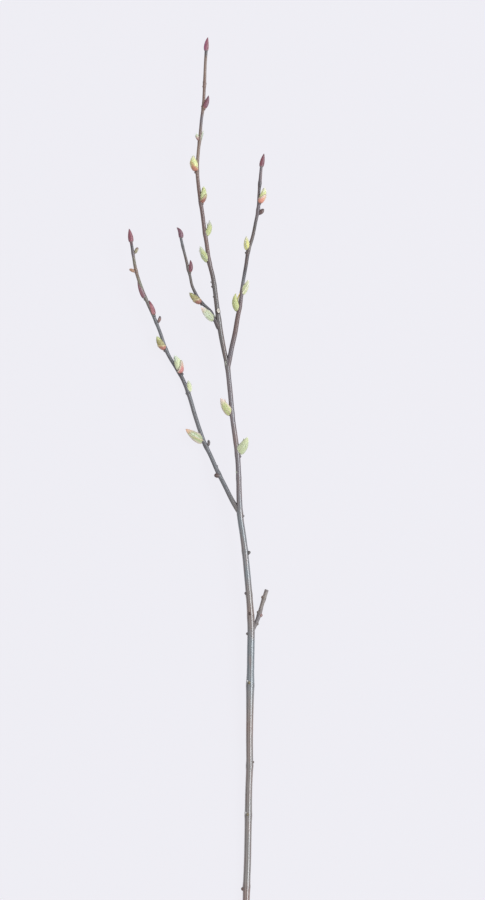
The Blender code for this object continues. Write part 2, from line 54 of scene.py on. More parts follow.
hues = {name: tone(*channels) for name, channels in {
    "greyBrown": (128, 120, 115), "baseBrown": (132, 104, 96), "rustBark": (134, 108, 96),
    "blueGrey": (112, 122, 128), "purpleGrey": (122, 113, 119), "darkBark": (98, 90, 88),
    "redBark": (124, 98, 94), "leaderBrown": (152, 128, 114), "leaderFoot": (146, 116, 100),
    "slate": (124, 126, 130), "oliveBark": (138, 136, 114), "nightBark": (92, 88, 92),
    "darkOlive": (102, 98, 92), "dryGrey": (140, 128, 120), "mauveGrey": (136, 124, 130),
    "maroon": (134, 78, 88), "deepMaroon": (112, 64, 74), "plum": (118, 80, 92),
    "duskMaroon": (122, 94, 99), "dullCoral": (188, 130, 106), "moss": (178, 190, 152),
    "magenta": (160, 84, 128), "brownScale": (142, 108, 96), "rosyScale": (190, 128, 128),
    "coral": (216, 148, 126), "coralRed": (174, 116, 102), "rose": (198, 132, 126), "rust": (150, 102, 88),
    "darkRust": (112, 84, 78), "yellow": (232, 230, 148), "lime": (214, 218, 150),
    "leafGreen": (200, 208, 150), "sage": (196, 206, 168), "paleLime": (214, 222, 178),
    "silver": (212, 220, 200), "mint": (210, 226, 196), "cream": (232, 230, 206), "white": (240, 242, 238),
    "greySilk": (196, 198, 200), "blush": (240, 214, 212), "apricot": (238, 188, 164),
    "honey": (222, 190, 92), "oliveLeaf": (156, 146, 94), "greyGreen": (172, 180, 164),
    "pinkBrown": (168, 130, 124), "orangeWood": (204, 156, 122), "greenWood": (186, 178, 144),
    "woodGrey": (122, 112, 112),
}.items()}


def blend(first, second, share):
    return first.lerp(second, min(max(share, 0.0), 1.0))


def ease(value, low, high):
    t = min(max((value - low) / (high - low), 0.0), 1.0)
    return t * t * (3 - 2 * t)


# small helpers for node trees

def addNode(tree, kind, feeds=None, **settings):
    node = tree.nodes.new(kind)
    for key, value in settings.items():
        setattr(node, key, value)
    for key, value in (feeds or {}).items():
        socket = node.inputs[key]
        if isinstance(value, bpy.types.NodeSocket):
            tree.links.new(value, socket)
        else:
            socket.default_value = value
    return node


def firstOut(tree, kind, feeds=None, **settings):
    return addNode(tree, kind, feeds, **settings).outputs[0]


def maths(tree, operation, first, second=0.0):
    return firstOut(tree, "ShaderNodeMath", {0: first, 1: second}, operation=operation)


def times(tree, first, second):
    return maths(tree, "MULTIPLY", first, second)


def plus(tree, first, second):
    return maths(tree, "ADD", first, second)


def vectorMaths(tree, operation, first, second=(0, 0, 0), scale=1.0):
    return firstOut(tree, "ShaderNodeVectorMath", {0: first, 1: second, 3: scale}, operation=operation)


def spread(tree, value, low, high, newLow=0.0, newHigh=1.0):
    feeds = {"Value": value, "From Min": low, "From Max": high, "To Min": newLow, "To Max": newHigh}
    return addNode(tree, "ShaderNodeMapRange", feeds, clamp=True).outputs["Result"]


def mixColour(tree, share, first, second, blend="MIX"):
    node = addNode(tree, "ShaderNodeMix", data_type="RGBA", blend_type=blend, clamp_factor=True)
    for socket, value in ((node.inputs[0], share), (node.inputs[6], first), (node.inputs[7], second)):
        if isinstance(value, bpy.types.NodeSocket):
            tree.links.new(value, socket)
        elif isinstance(value, (tuple, list, Vector)):
            socket.default_value = (*value[:3], 1.0)
        else:
            socket.default_value = value
    return node.outputs[2]


def readFloat(tree, name):
    return addNode(tree, "ShaderNodeAttribute", attribute_name=name).outputs["Fac"]


def readVector(tree, name):
    return addNode(tree, "ShaderNodeAttribute", attribute_name=name).outputs["Vector"]


def grain(tree, coord, stretch, detail=4.0, roughness=0.55):
    moved = vectorMaths(tree, "MULTIPLY", coord, stretch)
    feeds = {"Vector": moved, "Scale": 1.0, "Detail": detail, "Roughness": roughness}
    return addNode(tree, "ShaderNodeTexNoise", feeds).outputs["Fac"]


def newFinish(name, sockets):
    material = bpy.data.materials.new(name)
    material.use_nodes = True
    shader = material.node_tree.nodes["Principled BSDF"]
    for key, value in sockets.items():
        shader.inputs[key].default_value = value
    return material, material.node_tree, shader


def layered(tree, colour, field, limits, most, hue, mode="MIX"):
    # a hue laid over the colour, from nothing to its most as the field passes the limits
    return mixColour(tree, spread(tree, field, *limits, 0.0, most), colour, hue, mode)


def dress(tree, shader, colour, roughness, height, strength, distance):
    bump = firstOut(tree, "ShaderNodeBump", {
        "Height": height, "Strength": strength, "Distance": distance * mm})
    for label, value in (("Base Color", colour), ("Roughness", roughness), ("Normal", bump)):
        tree.links.new(value, shader.inputs[label])


# finishes: each piece carries its own tints as an attribute, and the finish adds what lies on them

barkLook = {
    "sockets": {"Specular IOR Level": 0.55, "Coat Roughness": 0.25},
    "coat": (0.15, 1.0), "gloss": (0.32, 0.42), "bump": 0.08,
    "depth": (0.68, 0.66, 0.66), "streak": (0.60, 0.58, 0.58), "warm": tone(140, 104, 92), "warmShare": 0.5,
    "fleck": tone(176, 174, 168), "fleckShare": 0.08, "dark": tone(66, 54, 50), "scarShare": 0.75,
    "pale": tone(226, 228, 218), "oldWood": (1.5 * mm, 2.6 * mm),
}


def barkFinish(name, look):
    # young willow bark: smooth and satin, streaked along the stem, darker at the old nodes
    material, tree, shader = newFinish(name, look["sockets"])
    coord = readVector(tree, "barkCoord")
    scar = readFloat(tree, "scar")
    streak = grain(tree, coord, (1.2, 1.2, 0.06), 3.0)
    patch = grain(tree, coord, (0.30, 0.30, 0.055), 3.0)
    speck = grain(tree, coord, (2.8, 2.8, 1.0), 3.0)
    wrinkle = grain(tree, coord, (1.8, 1.8, 0.06), 2.0, 0.5)
    colour = layered(tree, readVector(tree, "tint"), patch, (0.48, 0.64), look["warmShare"], look["warm"])
    colour = mixColour(tree, 1.0, colour, look["depth"], "MULTIPLY")
    colour = layered(tree, colour, streak, (0.40, 0.70), 0.8, look["streak"], "MULTIPLY")
    colour = layered(tree, colour, speck, (0.60, 0.72), look["fleckShare"], look["fleck"])
    colour = mixColour(tree, times(tree, scar, look["scarShare"]), colour, look["dark"])
    colour = mixColour(tree, readFloat(tree, "pale"), colour, look["pale"])
    wear = plus(tree, streak, times(tree, scar, 0.2))
    dress(tree, shader, colour, spread(tree, wear, 0.35, 0.75, *look["gloss"]),
          plus(tree, wrinkle, times(tree, speck, 0.06)), look["bump"], 0.12)
    # old wood, which is thicker, is shinier
    coat = spread(tree, readFloat(tree, "halfWidth"), *look["oldWood"], *look["coat"])
    tree.links.new(coat, shader.inputs["Coat Weight"])
    return material


scaleLook = {
    "sockets": {"Specular IOR Level": 0.45, "Coat Weight": 0.25, "Coat Roughness": 0.25},
    "shade": (0.80, 0.72, 0.73), "bloom": tone(196, 170, 176), "edge": tone(150, 108, 98),
}


def scaleFinish(name, look):
    # a waxy bud scale with fine fibres along it, a thin bloom in patches and a drier rim
    material, tree, shader = newFinish(name, look["sockets"])
    coord = readVector(tree, "barkCoord")
    fibre = grain(tree, coord, (2.8, 2.8, 0.3), 4.0)
    cloud = grain(tree, coord, (0.6, 0.6, 0.35), 3.0)
    colour = layered(tree, readVector(tree, "tint"), fibre, (0.42, 0.68), 0.7, look["shade"], "MULTIPLY")
    colour = layered(tree, colour, cloud, (0.52, 0.70), 0.12, look["bloom"])
    colour = mixColour(tree, times(tree, readFloat(tree, "rim"), 0.25), colour, look["edge"])
    dress(tree, shader, colour, spread(tree, fibre, 0.3, 0.7, 0.3, 0.5), fibre, 0.25, 0.1)
    return material


veinSlant = 1.7  # how far a side vein runs towards the tip on its way out
leafLook = {
    "sockets": {"Specular IOR Level": 0.4, "Sheen Weight": 0.25, "Sheen Roughness": 0.4},
    "vein": tone(232, 236, 200), "veins": 8.0, "veinShare": 0.22, "bump": 0.06,
    "shade": (0.92, 0.92, 0.84), "depth": (0.82, 0.79, 0.75),
}
tipLook = dict(leafLook, veins=11.0, veinShare=0.1, bump=0.03,
               shade=(0.95, 0.96, 0.92), depth=(0.96, 0.94, 0.96))


def leafFinish(name, look):
    # thin new leaf with paler midrib and side veins, and cells between them
    material, tree, shader = newFinish(name, look["sockets"])
    coord = readVector(tree, "barkCoord")
    across = maths(tree, "ABSOLUTE", readFloat(tree, "across"))
    cloud = grain(tree, coord, (0.55, 0.55, 0.4), 4.0)
    cells = grain(tree, coord, (5.0, 5.0, 4.0), 3.0)
    rib = spread(tree, across, 0.03, 0.11, 1.0, 0.0)
    along = times(tree, readFloat(tree, "share"), look["veins"])
    phase = maths(tree, "SUBTRACT", along, times(tree, across, veinSlant))
    wave = maths(tree, "COSINE", times(tree, phase, 2 * math.pi))
    lines = maths(tree, "MAXIMUM", rib, spread(tree, wave, 0.82, 0.98, 0.0, 0.6))
    colour = layered(tree, readVector(tree, "tint"), cloud, (0.42, 0.66), 0.8, look["shade"], "MULTIPLY")
    colour = mixColour(tree, times(tree, lines, look["veinShare"]), colour, look["vein"])
    colour = mixColour(tree, 1.0, colour, look["depth"], "MULTIPLY")
    dress(tree, shader, colour, spread(tree, cloud, 0.3, 0.7, 0.45, 0.62),
          plus(tree, times(tree, lines, 0.7), times(tree, cells, 0.5)), look["bump"], 0.1)
    return material


hairLook = {
    "sockets": {"Roughness": 0.45, "Specular IOR Level": 0.5, "Sheen Weight": 0.3},
    "white": tone(236, 238, 236), "own": 0.6,
}


def hairFinish(name, look):
    # white hairs that take on some of the colour under them
    material, tree, shader = newFinish(name, look["sockets"])
    coord = addNode(tree, "ShaderNodeTexCoord").outputs["Object"]
    cloud = grain(tree, coord, (900.0, 900.0, 900.0), 2.0)
    colour = layered(tree, look["white"], cloud, (0.35, 0.65), look["own"], readVector(tree, "tint"))
    tree.links.new(colour, shader.inputs["Base Color"])
    return material


woodLook = {
    "sockets": {"Specular IOR Level": 0.3},
    "light": tone(204, 192, 168), "band": tone(176, 162, 136), "pith": tone(142, 124, 104),
    "weathered": tone(224, 222, 220), "rings": 9.0,
}


def woodFinish(name, look):
    # a cut face: rings round a small pith, and paler and greyer with age
    material, tree, shader = newFinish(name, look["sockets"])
    coord = readVector(tree, "barkCoord")
    wobble = grain(tree, coord, (0.9, 0.9, 0.9), 3.0)
    fibre = grain(tree, coord, (7.0, 7.0, 7.0), 5.0)
    radius = addNode(tree, "ShaderNodeVectorMath", {0: coord}, operation="LENGTH").outputs["Value"]
    phase = plus(tree, times(tree, radius, look["rings"]), times(tree, wobble, 2.2))
    rings = spread(tree, maths(tree, "SINE", phase), -1.0, 1.0)
    colour = mixColour(tree, rings, look["light"], look["band"])
    colour = mixColour(tree, spread(tree, radius, 0.28, 0.4, 1.0, 0.0), colour, look["pith"])
    colour = mixColour(tree, times(tree, fibre, 0.35), colour, look["band"])
    colour = mixColour(tree, readFloat(tree, "pale"), colour, look["weathered"])
    dress(tree, shader, colour, spread(tree, fibre, 0.3, 0.7, 0.62, 0.85),
          plus(tree, times(tree, rings, 0.4), fibre), 0.5, 0.12)
    return material


# rows of a stem's growth

def sprout(kind):
    # what one row of a stem's growth says: where it stands, its size and bend, and its own colours
    def row(y, side, roll, length, width, lean, hook, **looks):
        return kind, y, side, roll, length, width, lean, hook, looks
    return row


tipBud, closedBud, openBud, leaf, peg, cutStub = map(
    sprout, ("tipBud", "closedBud", "openBud", "leaf", "peg", "cutStub"))


def nub(y, side, roll, length, width, lean, body, scar=0.15):
    return sprout("nub")(y, side, roll, length, width, lean, 0, body=body, scar=scar)


# the twig's own tables, in millimetres and degrees
# route: x, y, z and width; swells: y, rise, reach and how dark a ring; colours: y and a hue
# growth: y, side, roll, length, width, lean, hook and what is its own; a nub has a hue and a scar
# more: a further blade's share of length and of width, its lean, turn and cup, its hue and its tip's

mainStem = {
    "name": "mainStem", "node": "main_stem", "slot": "bark", "sides": 28, "step": 0.55, "seed": 3,
    "bark": dict(barkLook, bump=0.05,
                 sockets={"Specular IOR Level": 0.5, "Coat Roughness": 0.27, "Coat IOR": 1.9}),
    "surface": {"Ridge Height": 0.05, "Ridge Across": 0.9, "Ridge Along": 0.06, "Lump Height": 0.10,
                "Lump Size": 0.16, "Lenticel Density": 0.016, "Lenticel Size": 0.26},
    "colours": [
        (-348, "baseBrown"), (-337, "baseBrown"), (-326, "greyBrown"), (-230, "greyBrown"),
        (-205, "rustBark"), (-186, "greyBrown"), (-168, "blueGrey"), (-136, "blueGrey"),
        (-112, "rustBark"), (-96, "greyBrown"), (-84, "blueGrey"), (-38, "blueGrey"), (-15, "purpleGrey"),
        (10, "purpleGrey"), (26, "redBark"), (40, "purpleGrey"), (72, "purpleGrey"), (90, "darkBark"),
        (128, "darkBark"), (150, "darkBark"), (172, "redBark"), (215, "redBark"), (250, "leaderBrown"),
        (270, "leaderBrown"), (282, "purpleGrey"), (289, "leaderFoot"), (300, "leaderBrown"),
        (330, "leaderBrown"), (334, "nightBark"),
    ],
    "route": [
        (38.9, -347.5, 2.6, 5.7), (39.2, -334.0, 2.6, 5.8), (40.0, -312.0, 3.0, 5.8),
        (40.4, -291.0, 3.7, 5.7), (40.7, -274.0, 4.3, 5.8), (41.0, -255.0, 5.1, 5.6),
        (41.7, -235.0, 5.9, 5.6), (41.6, -215.0, 6.6, 5.6), (41.8, -197.0, 7.2, 5.8),
        (42.1, -175.0, 7.9, 6.4), (42.4, -159.0, 8.4, 6.0), (42.7, -139.0, 9.0, 6.1),
        (42.9, -127.0, 9.4, 6.0), (42.3, -112.0, 9.8, 5.6), (41.3, -99.0, 10.2, 5.3),
        (39.6, -80.0, 10.8, 5.3), (38.0, -64.0, 11.3, 5.1), (36.2, -50.0, 11.6, 5.0),
        (34.3, -37.0, 12.0, 4.9), (33.5, -23.0, 12.4, 4.4), (33.0, -6.0, 12.8, 4.0),
        (32.0, 13.0, 13.2, 3.9), (30.0, 28.5, 13.6, 3.9), (28.0, 43.0, 14.0, 3.7), (26.6, 59.0, 14.3, 3.7),
        (25.1, 74.0, 14.6, 3.7), (23.9, 84.5, 14.8, 3.7), (21.5, 95.5, 15.0, 3.6),
        (19.0, 108.5, 15.3, 3.9), (16.8, 122.5, 15.6, 3.8), (15.3, 134.0, 15.8, 3.6),
        (14.0, 145.0, 16.0, 3.4), (12.4, 155.0, 16.2, 3.3), (9.4, 167.5, 16.4, 3.2),
        (7.2, 183.0, 16.7, 3.0), (5.5, 193.5, 16.9, 2.9), (4.1, 205.0, 17.1, 2.9), (2.5, 215.5, 17.3, 2.8),
        (0.6, 230.0, 17.5, 2.6), (-0.2, 241.0, 17.7, 2.6), (0.7, 255.5, 17.9, 2.3),
        (2.1, 268.5, 18.1, 2.3), (3.3, 282.0, 18.3, 2.1), (4.7, 291.5, 18.4, 2.3), (5.3, 302.0, 18.6, 2.1),
        (5.8, 313.0, 18.8, 2.2), (6.3, 326.0, 19.0, 2.0), (7.0, 336.5, 19.2, 2.2),
    ],
    "swells": [
        (-333.0, 0.25, 3.5, 0.4), (-275.5, 0.2, 3.5, 0.6), (-236.0, 0.25, 3.0, 0.3),
        (-171.0, 0.25, 5.0, 0.55), (-116.0, 0.15, 3.5, 0.3), (-98.5, 0.15, 2.5, 0.2),
        (-64.0, 0.2, 2.5, 0.4), (-34.0, 0.2, 3.5, 0.2), (-5.0, 0.15, 2.5, 0.1), (13.5, 0.2, 3.0, 0.3),
        (46.0, 0.2, 3.0, 0.2), (84.0, 0.2, 3.5, 0.2), (121.0, 0.2, 3.5, 0.4), (149.0, 0.1, 2.5, 0.2),
        (167.0, 0.2, 3.0, 0.2), (190.0, 0.2, 3.0, 0.2), (215.0, 0.2, 3.0, 0.4), (240.5, 0.15, 3.0, 0.2),
        (264.0, 0.15, 3.0, 0.2), (291.0, 0.2, 2.5, 0.3), (309.0, 0.15, 2.5, 0.0),
    ],
    "growth": [
        tipBud(336.5, 1, 0, 10.6, 4.0, -5, 18, body="maroon", streak="magenta", streakTurn=150),
        nub(310.0, -1, 10, 1.9, 1.2, 40, "greySilk", 0.0),
        nub(306.5, -1, -5, 2.1, 1.2, 55, "blush", 0.0),
        nub(308.5, 1, 20, 2.2, 1.6, 30, "leaderBrown", 0.0),
        closedBud(290.4, 1, 15, 10.9, 4.2, 24, -22, body="plum", streak="maroon", streakTurn=112,
                  foot="coralRed"),
        nub(290.5, -1, -10, 2.0, 1.6, 30, "leaderFoot", 0.0),
        openBud(264.5, -1, 10, 6.2, 2.7, 33, -24, leaves=("cream", "mint", "sage"), tip="white",
                scale="pinkBrown", rim=(0.62, 0.50)),
        leaf(263.5, 1, -5, 9.5, 2.6, 12, -5, turn=40, body="greyGreen", edge="silver", tip="silver"),
        openBud(240.0, -1, 20, 13.0, 6.6, 23, -28, leaves=("yellow", "silver", "lime"), tip="cream",
                scale="dullCoral", rim=(0.66, 0.06), facing=16),
        openBud(214.5, 1, 20, 13.4, 5.4, 29, -28, leaves=("leafGreen", "lime", "leafGreen"), tip="lime",
                scale="rust", rim=(0.54, 0.14), facing=14),
        leaf(188.7, 1, 15, 12.8, 4.6, 49, -56, turn=58, cup=88, body="leafGreen", edge="sage",
             tip="greySilk",
             more=[(0.86, 0.70, -10, 85, 70, "mint", "white"), (0.7, 0.4, -3, -30, 120, "sage", "silver")]),
        leaf(168.2, -1, 15, 13.8, 5.6, 30, -24, turn=66, cup=84, body="leafGreen", edge="mint",
             tip="silver",
             more=[(0.84, 0.66, 12, -60, 84, "sage", "white"), (0.62, 0.5, -8, 0, 120, "mint", "white")]),
        nub(150.5, -1, 10, 2.8, 1.8, 55, "greySilk"),
        nub(147.0, -1, -10, 2.8, 1.8, 55, "woodGrey"),
        nub(139.0, -1, 0, 2.0, 1.5, 50, "woodGrey"),
        cutStub(127.4, 1, 76, 2.7, 3.6, 66, 0, body="darkBark"),
        nub(84.0, -1, 62, 4.6, 1.1, 4, "silver", 0.0),
        leaf(46.0, -1, 20, 15.6, 7.0, 40, -24, turn=66, cup=88, body="leafGreen", edge="blush", tip="blush",
             more=[(0.86, 0.6, -9, 80, 90, "oliveLeaf", "apricot"),
                   (0.74, 0.5, -4, -20, 130, "leafGreen", "cream")]),
        leaf(14.9, 1, 15, 14.7, 8.0, 50, -26, turn=66, cup=80, body="sage", edge="silver", tip="paleLime",
             more=[(0.86, 0.6, -9, 80, 90, "leafGreen", "silver"),
                   (0.74, 0.5, -4, -25, 130, "mint", "cream")]),
        nub(11.0, 1, 10, 2.6, 2.2, 55, "purpleGrey"),
        nub(-1.2, -1, 35, 2.2, 1.6, 55, "mint", 0.0),
        nub(-36.5, 1, 0, 2.2, 2.2, 50, "slate"),
        nub(-67.0, 1, 10, 5.0, 3.0, 58, "darkOlive"),
        nub(-98.5, -1, 10, 3.0, 2.4, 45, "woodGrey"),
        nub(-131.0, -1, 0, 2.4, 2.8, 20, "greyBrown"),
        nub(-115.5, -1, 78, 3.6, 2.2, 26, "darkRust", 0.9),
        nub(-169.0, -1, 42, 2.8, 2.2, 40, "white", 0.0),
        nub(-170.5, -1, 74, 3.2, 2.2, 30, "oliveLeaf", 0.2),
        nub(-233.5, 1, 8, 2.2, 2.0, 50, "greyBrown"),
        nub(-274.5, -1, 40, 2.6, 2.0, 45, "white", 0.0),
        nub(-276.0, -1, 78, 3.0, 2.0, 30, "oliveLeaf", 0.2),
        nub(-335.5, -1, 8, 3.2, 3.2, 60, "baseBrown", 0.3),
    ],
}

shoot = {
    "slot": "shoot_bark", "sides": 24, "step": 0.5,
    "surface": {"Ridge Height": 0.05, "Ridge Across": 1.1, "Ridge Along": 0.08, "Lump Height": 0.07,
                "Lump Size": 0.2, "Lenticel Density": 0.022, "Lenticel Size": 0.22},
}

leftShoot = {
    **shoot, "name": "leftShoot", "node": "left_shoot", "seed": 11, "bark": dict(barkLook, warmShare=0.12),
    "colours": [
        (-34, "greyBrown"), (-14, "slate"), (12, "slate"), (60, "slate"), (82, "nightBark"),
        (100, "slate"), (122, "slate"), (132, "greyBrown"), (150, "oliveBark"), (160, "leaderFoot"),
        (168, "oliveBark"), (174, "mauveGrey"), (180, "nightBark"), (185, "maroon"),
    ],
    "route": [
        (34.2, -33.5, 11.8, 4.4), (28.5, -24.5, 10.8, 3.7), (21.9, -11.5, 8.8, 3.3), (15.5, 1.2, 6.9, 3.2),
        (9.8, 14.0, 5.1, 3.1), (5.8, 22.0, 4.0, 3.2), (1.8, 33.0, 2.6, 3.1), (-2.4, 46.0, 1.55, 3.1),
        (-6.2, 59.0, 1.65, 3.1), (-9.5, 68.5, 2.5, 3.0), (-13.2, 76.5, 3.4, 2.8), (-18.1, 84.5, 4.4, 2.6),
        (-22.1, 91.0, 5.2, 2.6), (-25.5, 98.0, 5.9, 2.7), (-29.5, 110.0, 7.0, 2.4),
        (-34.6, 123.0, 8.3, 2.4), (-40.4, 136.0, 9.5, 2.4), (-45.6, 149.0, 10.7, 2.4),
        (-49.4, 161.5, 11.7, 2.3), (-51.6, 174.5, 12.7, 2.1), (-53.1, 184.0, 13.4, 2.1),
    ],
    "swells": [
        (-2.0, 0.2, 2.5, 0.3), (20.0, 0.2, 3.0, 0.4), (63.0, 0.15, 2.0, 0.5), (79.0, 0.2, 3.0, 0.3),
        (98.0, 0.2, 3.0, 0.3), (119.5, 0.15, 2.0, 0.3), (139.0, 0.1, 2.0, 0.2), (160.5, 0.15, 2.0, 0.1),
        (174.5, 0.15, 2.0, 0.2),
    ],
    "growth": [
        tipBud(184.0, -1, 0, 10.4, 4.4, -3, 6, body="maroon", streak="deepMaroon", streakTurn=200),
        peg(174.2, 1, 10, 6.2, 2.8, 62, -42, body="greenWood", tip="pinkBrown"),
        peg(159.6, -1, 10, 5.8, 2.6, 50, 4, body="orangeWood", tip="orangeWood"),
        closedBud(138.8, -1, 10, 15.0, 4.2, 3.4, -7, body="duskMaroon", streak="maroon", streakTurn=40,
                  foot="woodGrey"),
        closedBud(124.9, 1, 15, 12.8, 4.0, 12, -14, body="maroon", streak="rosyScale", streakTurn=110,
                  foot="brownScale"),
        peg(118.4, 1, 5, 6.6, 2.5, 68, -56, body="pinkBrown", tip="slate"),
        openBud(98.0, -1, 20, 12.6, 6.0, 18, -20, leaves=("lime", "leafGreen", "oliveLeaf"),
                tip="leafGreen", scale="coralRed", rim=(0.50, 0.20), facing=22),
        openBud(78.3, 1, 20, 15.6, 7.2, 24, -26, leaves=("mint", "silver", "paleLime"), tip="silver",
                scale="rose", rim=(0.62, 0.10), flare=0.9, facing=4),
        leaf(63.8, 1, 12, 9.2, 5.0, 28, -24, turn=74, body="paleLime", edge="white", tip="silver"),
        nub(62.0, -1, 20, 2.4, 1.8, 50, "slate"),
        leaf(24.7, -1, 30, 17.0, 7.8, 45, -12, turn=74, cup=74, body="moss", edge="blush", tip="apricot",
             more=[(0.84, 0.6, 9, -80, 84, "lime", "mint"), (0.7, 0.5, -6, 0, 120, "leafGreen", "blush")]),
        peg(19.5, 1, 10, 6.0, 2.5, 76, -80, body="woodGrey", tip="slate"),
        nub(-3.5, -1, 20, 5.6, 4.0, 68, "baseBrown", 0.5),
        nub(3.0, 1, 10, 2.0, 1.6, 50, "slate"),
    ],
}

rightShoot = {
    **shoot, "name": "rightShoot", "node": "right_shoot", "seed": 17,
    "bark": dict(barkLook, warmShare=0.4),
    "colours": [
        (82, "purpleGrey"), (95, "purpleGrey"), (112, "redBark"), (128, "redBark"), (142, "purpleGrey"),
        (152, "slate"), (160, "nightBark"), (172, "nightBark"), (178, "greyBrown"), (196, "darkBark"),
        (208, "mauveGrey"), (228, "nightBark"), (234, "mauveGrey"), (243, "mauveGrey"),
    ],
    "route": [
        (24.2, 82.5, 14.8, 3.5), (25.9, 91.0, 15.8, 3.6), (27.2, 98.0, 16.6, 3.6),
        (29.9, 110.0, 18.0, 3.6), (32.1, 123.0, 19.4, 3.4), (34.4, 135.0, 20.6, 3.0),
        (35.7, 147.0, 21.6, 2.4), (37.1, 155.0, 22.2, 2.5), (38.7, 164.0, 22.9, 2.6),
        (40.7, 176.5, 23.7, 2.7), (44.0, 187.0, 24.4, 2.4), (46.6, 199.5, 25.1, 2.3),
        (48.5, 209.0, 25.6, 2.5), (49.1, 222.0, 26.2, 2.0), (50.0, 232.0, 26.6, 2.2),
        (51.0, 243.5, 27.0, 2.0),
    ],
    "swells": [
        (131.0, 0.15, 2.5, 0.2), (142.0, 0.15, 2.5, 0.3), (176.0, 0.2, 2.5, 0.5), (208.5, 0.25, 2.5, 0.3),
        (229.5, 0.25, 3.0, 0.5),
    ],
    "growth": [
        tipBud(243.5, 1, 0, 10.4, 4.0, 4, 6, body="deepMaroon", streak="maroon", streakTurn=120),
        openBud(214.0, 1, 20, 13.6, 5.4, 32, -30, leaves=("cream", "yellow", "lime"), tip="cream",
                scale="coral", rim=(0.60, 0.30), facing=24),
        peg(205.4, 1, 5, 6.4, 3.4, 62, -62, body="redBark", tip="woodGrey"),
        leaf(176.8, -1, 20, 11.0, 5.0, 29, -18, turn=68, body="yellow", edge="cream", tip="cream",
             more=[(0.8, 0.6, 8, -80, 84, "mint", "white")]),
        nub(173.5, -1, 10, 2.6, 2.0, 60, "greyBrown"),
        leaf(142.0, 1, 20, 12.4, 5.0, 27, -14, turn=72, cup=66, body="paleLime", edge="cream", tip="cream",
             more=[(0.8, 0.6, 8, -60, 84, "cream", "white")]),
        leaf(128.4, -1, 20, 14.6, 5.3, 46, -54, turn=62, cup=88, body="leafGreen", edge="lime", tip="lime",
             more=[(1.08, 0.5, -16, 60, 60, "oliveLeaf", "honey"),
                   (0.74, 0.5, -4, -20, 130, "yellow", "cream")]),
    ],
}

shortShoot = {
    **shoot, "name": "shortShoot", "node": "short_shoot", "seed": 23,
    "bark": dict(barkLook, warmShare=0.3),
    "colours": [
        (114, "darkBark"), (122, "nightBark"), (140, "nightBark"), (152, "darkOlive"), (162, "greyBrown"),
        (172, "darkOlive"), (181, "slate"), (188, "nightBark"),
    ],
    "route": [
        (17.4, 114.5, 15.4, 3.4), (15.0, 119.0, 15.9, 3.0), (12.8, 123.5, 16.4, 2.6),
        (11.0, 127.5, 16.8, 2.3), (7.9, 130.8, 17.2, 2.1), (4.4, 133.8, 17.6, 2.2),
        (1.2, 137.5, 18.0, 2.4), (-1.6, 142.5, 18.5, 2.2), (-4.3, 148.5, 19.0, 2.0),
        (-5.8, 155.5, 19.6, 1.9), (-7.6, 163.0, 20.2, 2.1), (-9.5, 171.0, 20.8, 1.9),
        (-11.8, 180.0, 21.4, 1.9), (-13.3, 187.0, 21.8, 1.9),
    ],
    "swells": [
        (116.0, 0.3, 2.5, 0.3), (135.0, 0.15, 2.5, 0.3), (161.5, 0.3, 2.4, 0.2), (180.0, 0.1, 1.5, 0.4),
    ],
    "growth": [
        tipBud(187.0, -1, 0, 9.0, 4.1, -20, 62, body="plum", streak="deepMaroon", streakTurn=180),
        closedBud(159.3, 1, 15, 9.9, 3.7, 33, -34, body="deepMaroon", streak="rosyScale", streakTurn=165,
                  foot="brownScale"),
        openBud(134.9, -1, 20, 12.6, 5.8, 12, -14, leaves=("leafGreen", "oliveLeaf", "oliveLeaf"),
                tip="oliveLeaf", scale="rust", rim=(0.50, 0.26), foot="darkRust", facing=24),
        leaf(121.7, -1, 20, 14.6, 6.8, 24, -4, turn=76, cup=74, body="sage", edge="white", tip="blush",
             more=[(0.84, 0.6, -10, 70, 90, "sage", "cream"), (0.74, 0.6, 8, 0, 110, "mint", "white")]),
    ],
}

snag = {
    "name": "snag", "node": "snag", "slot": "dead_bark", "sides": 22, "step": 0.5, "seed": 31,
    "bark": dict(barkLook, gloss=(0.45, 0.65), bump=0.5, warmShare=0.2, depth=(0.84, 0.85, 0.87)),
    "surface": {"Ridge Height": 0.22, "Ridge Across": 1.3, "Ridge Along": 0.14, "Lump Height": 0.25,
                "Lump Size": 0.3, "Lenticel Density": 0.03, "Lenticel Size": 0.24},
    "colours": [
        (-129, "greyBrown"), (-118, "woodGrey"), (-108, "dryGrey"), (-98, "dryGrey"), (-95, "woodGrey"),
    ],
    "route": [
        (43.0, -128.5, 9.3, 3.4), (47.2, -120.5, 7.2, 3.1), (49.6, -114.0, 5.6, 3.1),
        (51.4, -107.5, 4.0, 2.9), (53.3, -101.5, 2.5, 2.9), (55.4, -95.0, 1.15, 2.9),
    ],
    "swells": [
        (-115.0, 0.25, 2.0, 0.2), (-102.5, 0.15, 2.0, 0.2),
    ],
    "growth": [
        nub(-102.5, -1, 15, 3.2, 2.8, 40, "rustBark"),
        nub(-114.5, -1, 15, 3.0, 2.6, 40, "dryGrey"),
        nub(-116.0, 1, 20, 3.4, 3.2, 45, "pinkBrown"),
        nub(-122.5, 1, 10, 2.6, 2.4, 45, "dryGrey"),
    ],
}

stems = [mainStem, leftShoot, rightShoot, shortShoot, snag]


# where things stand on a stem

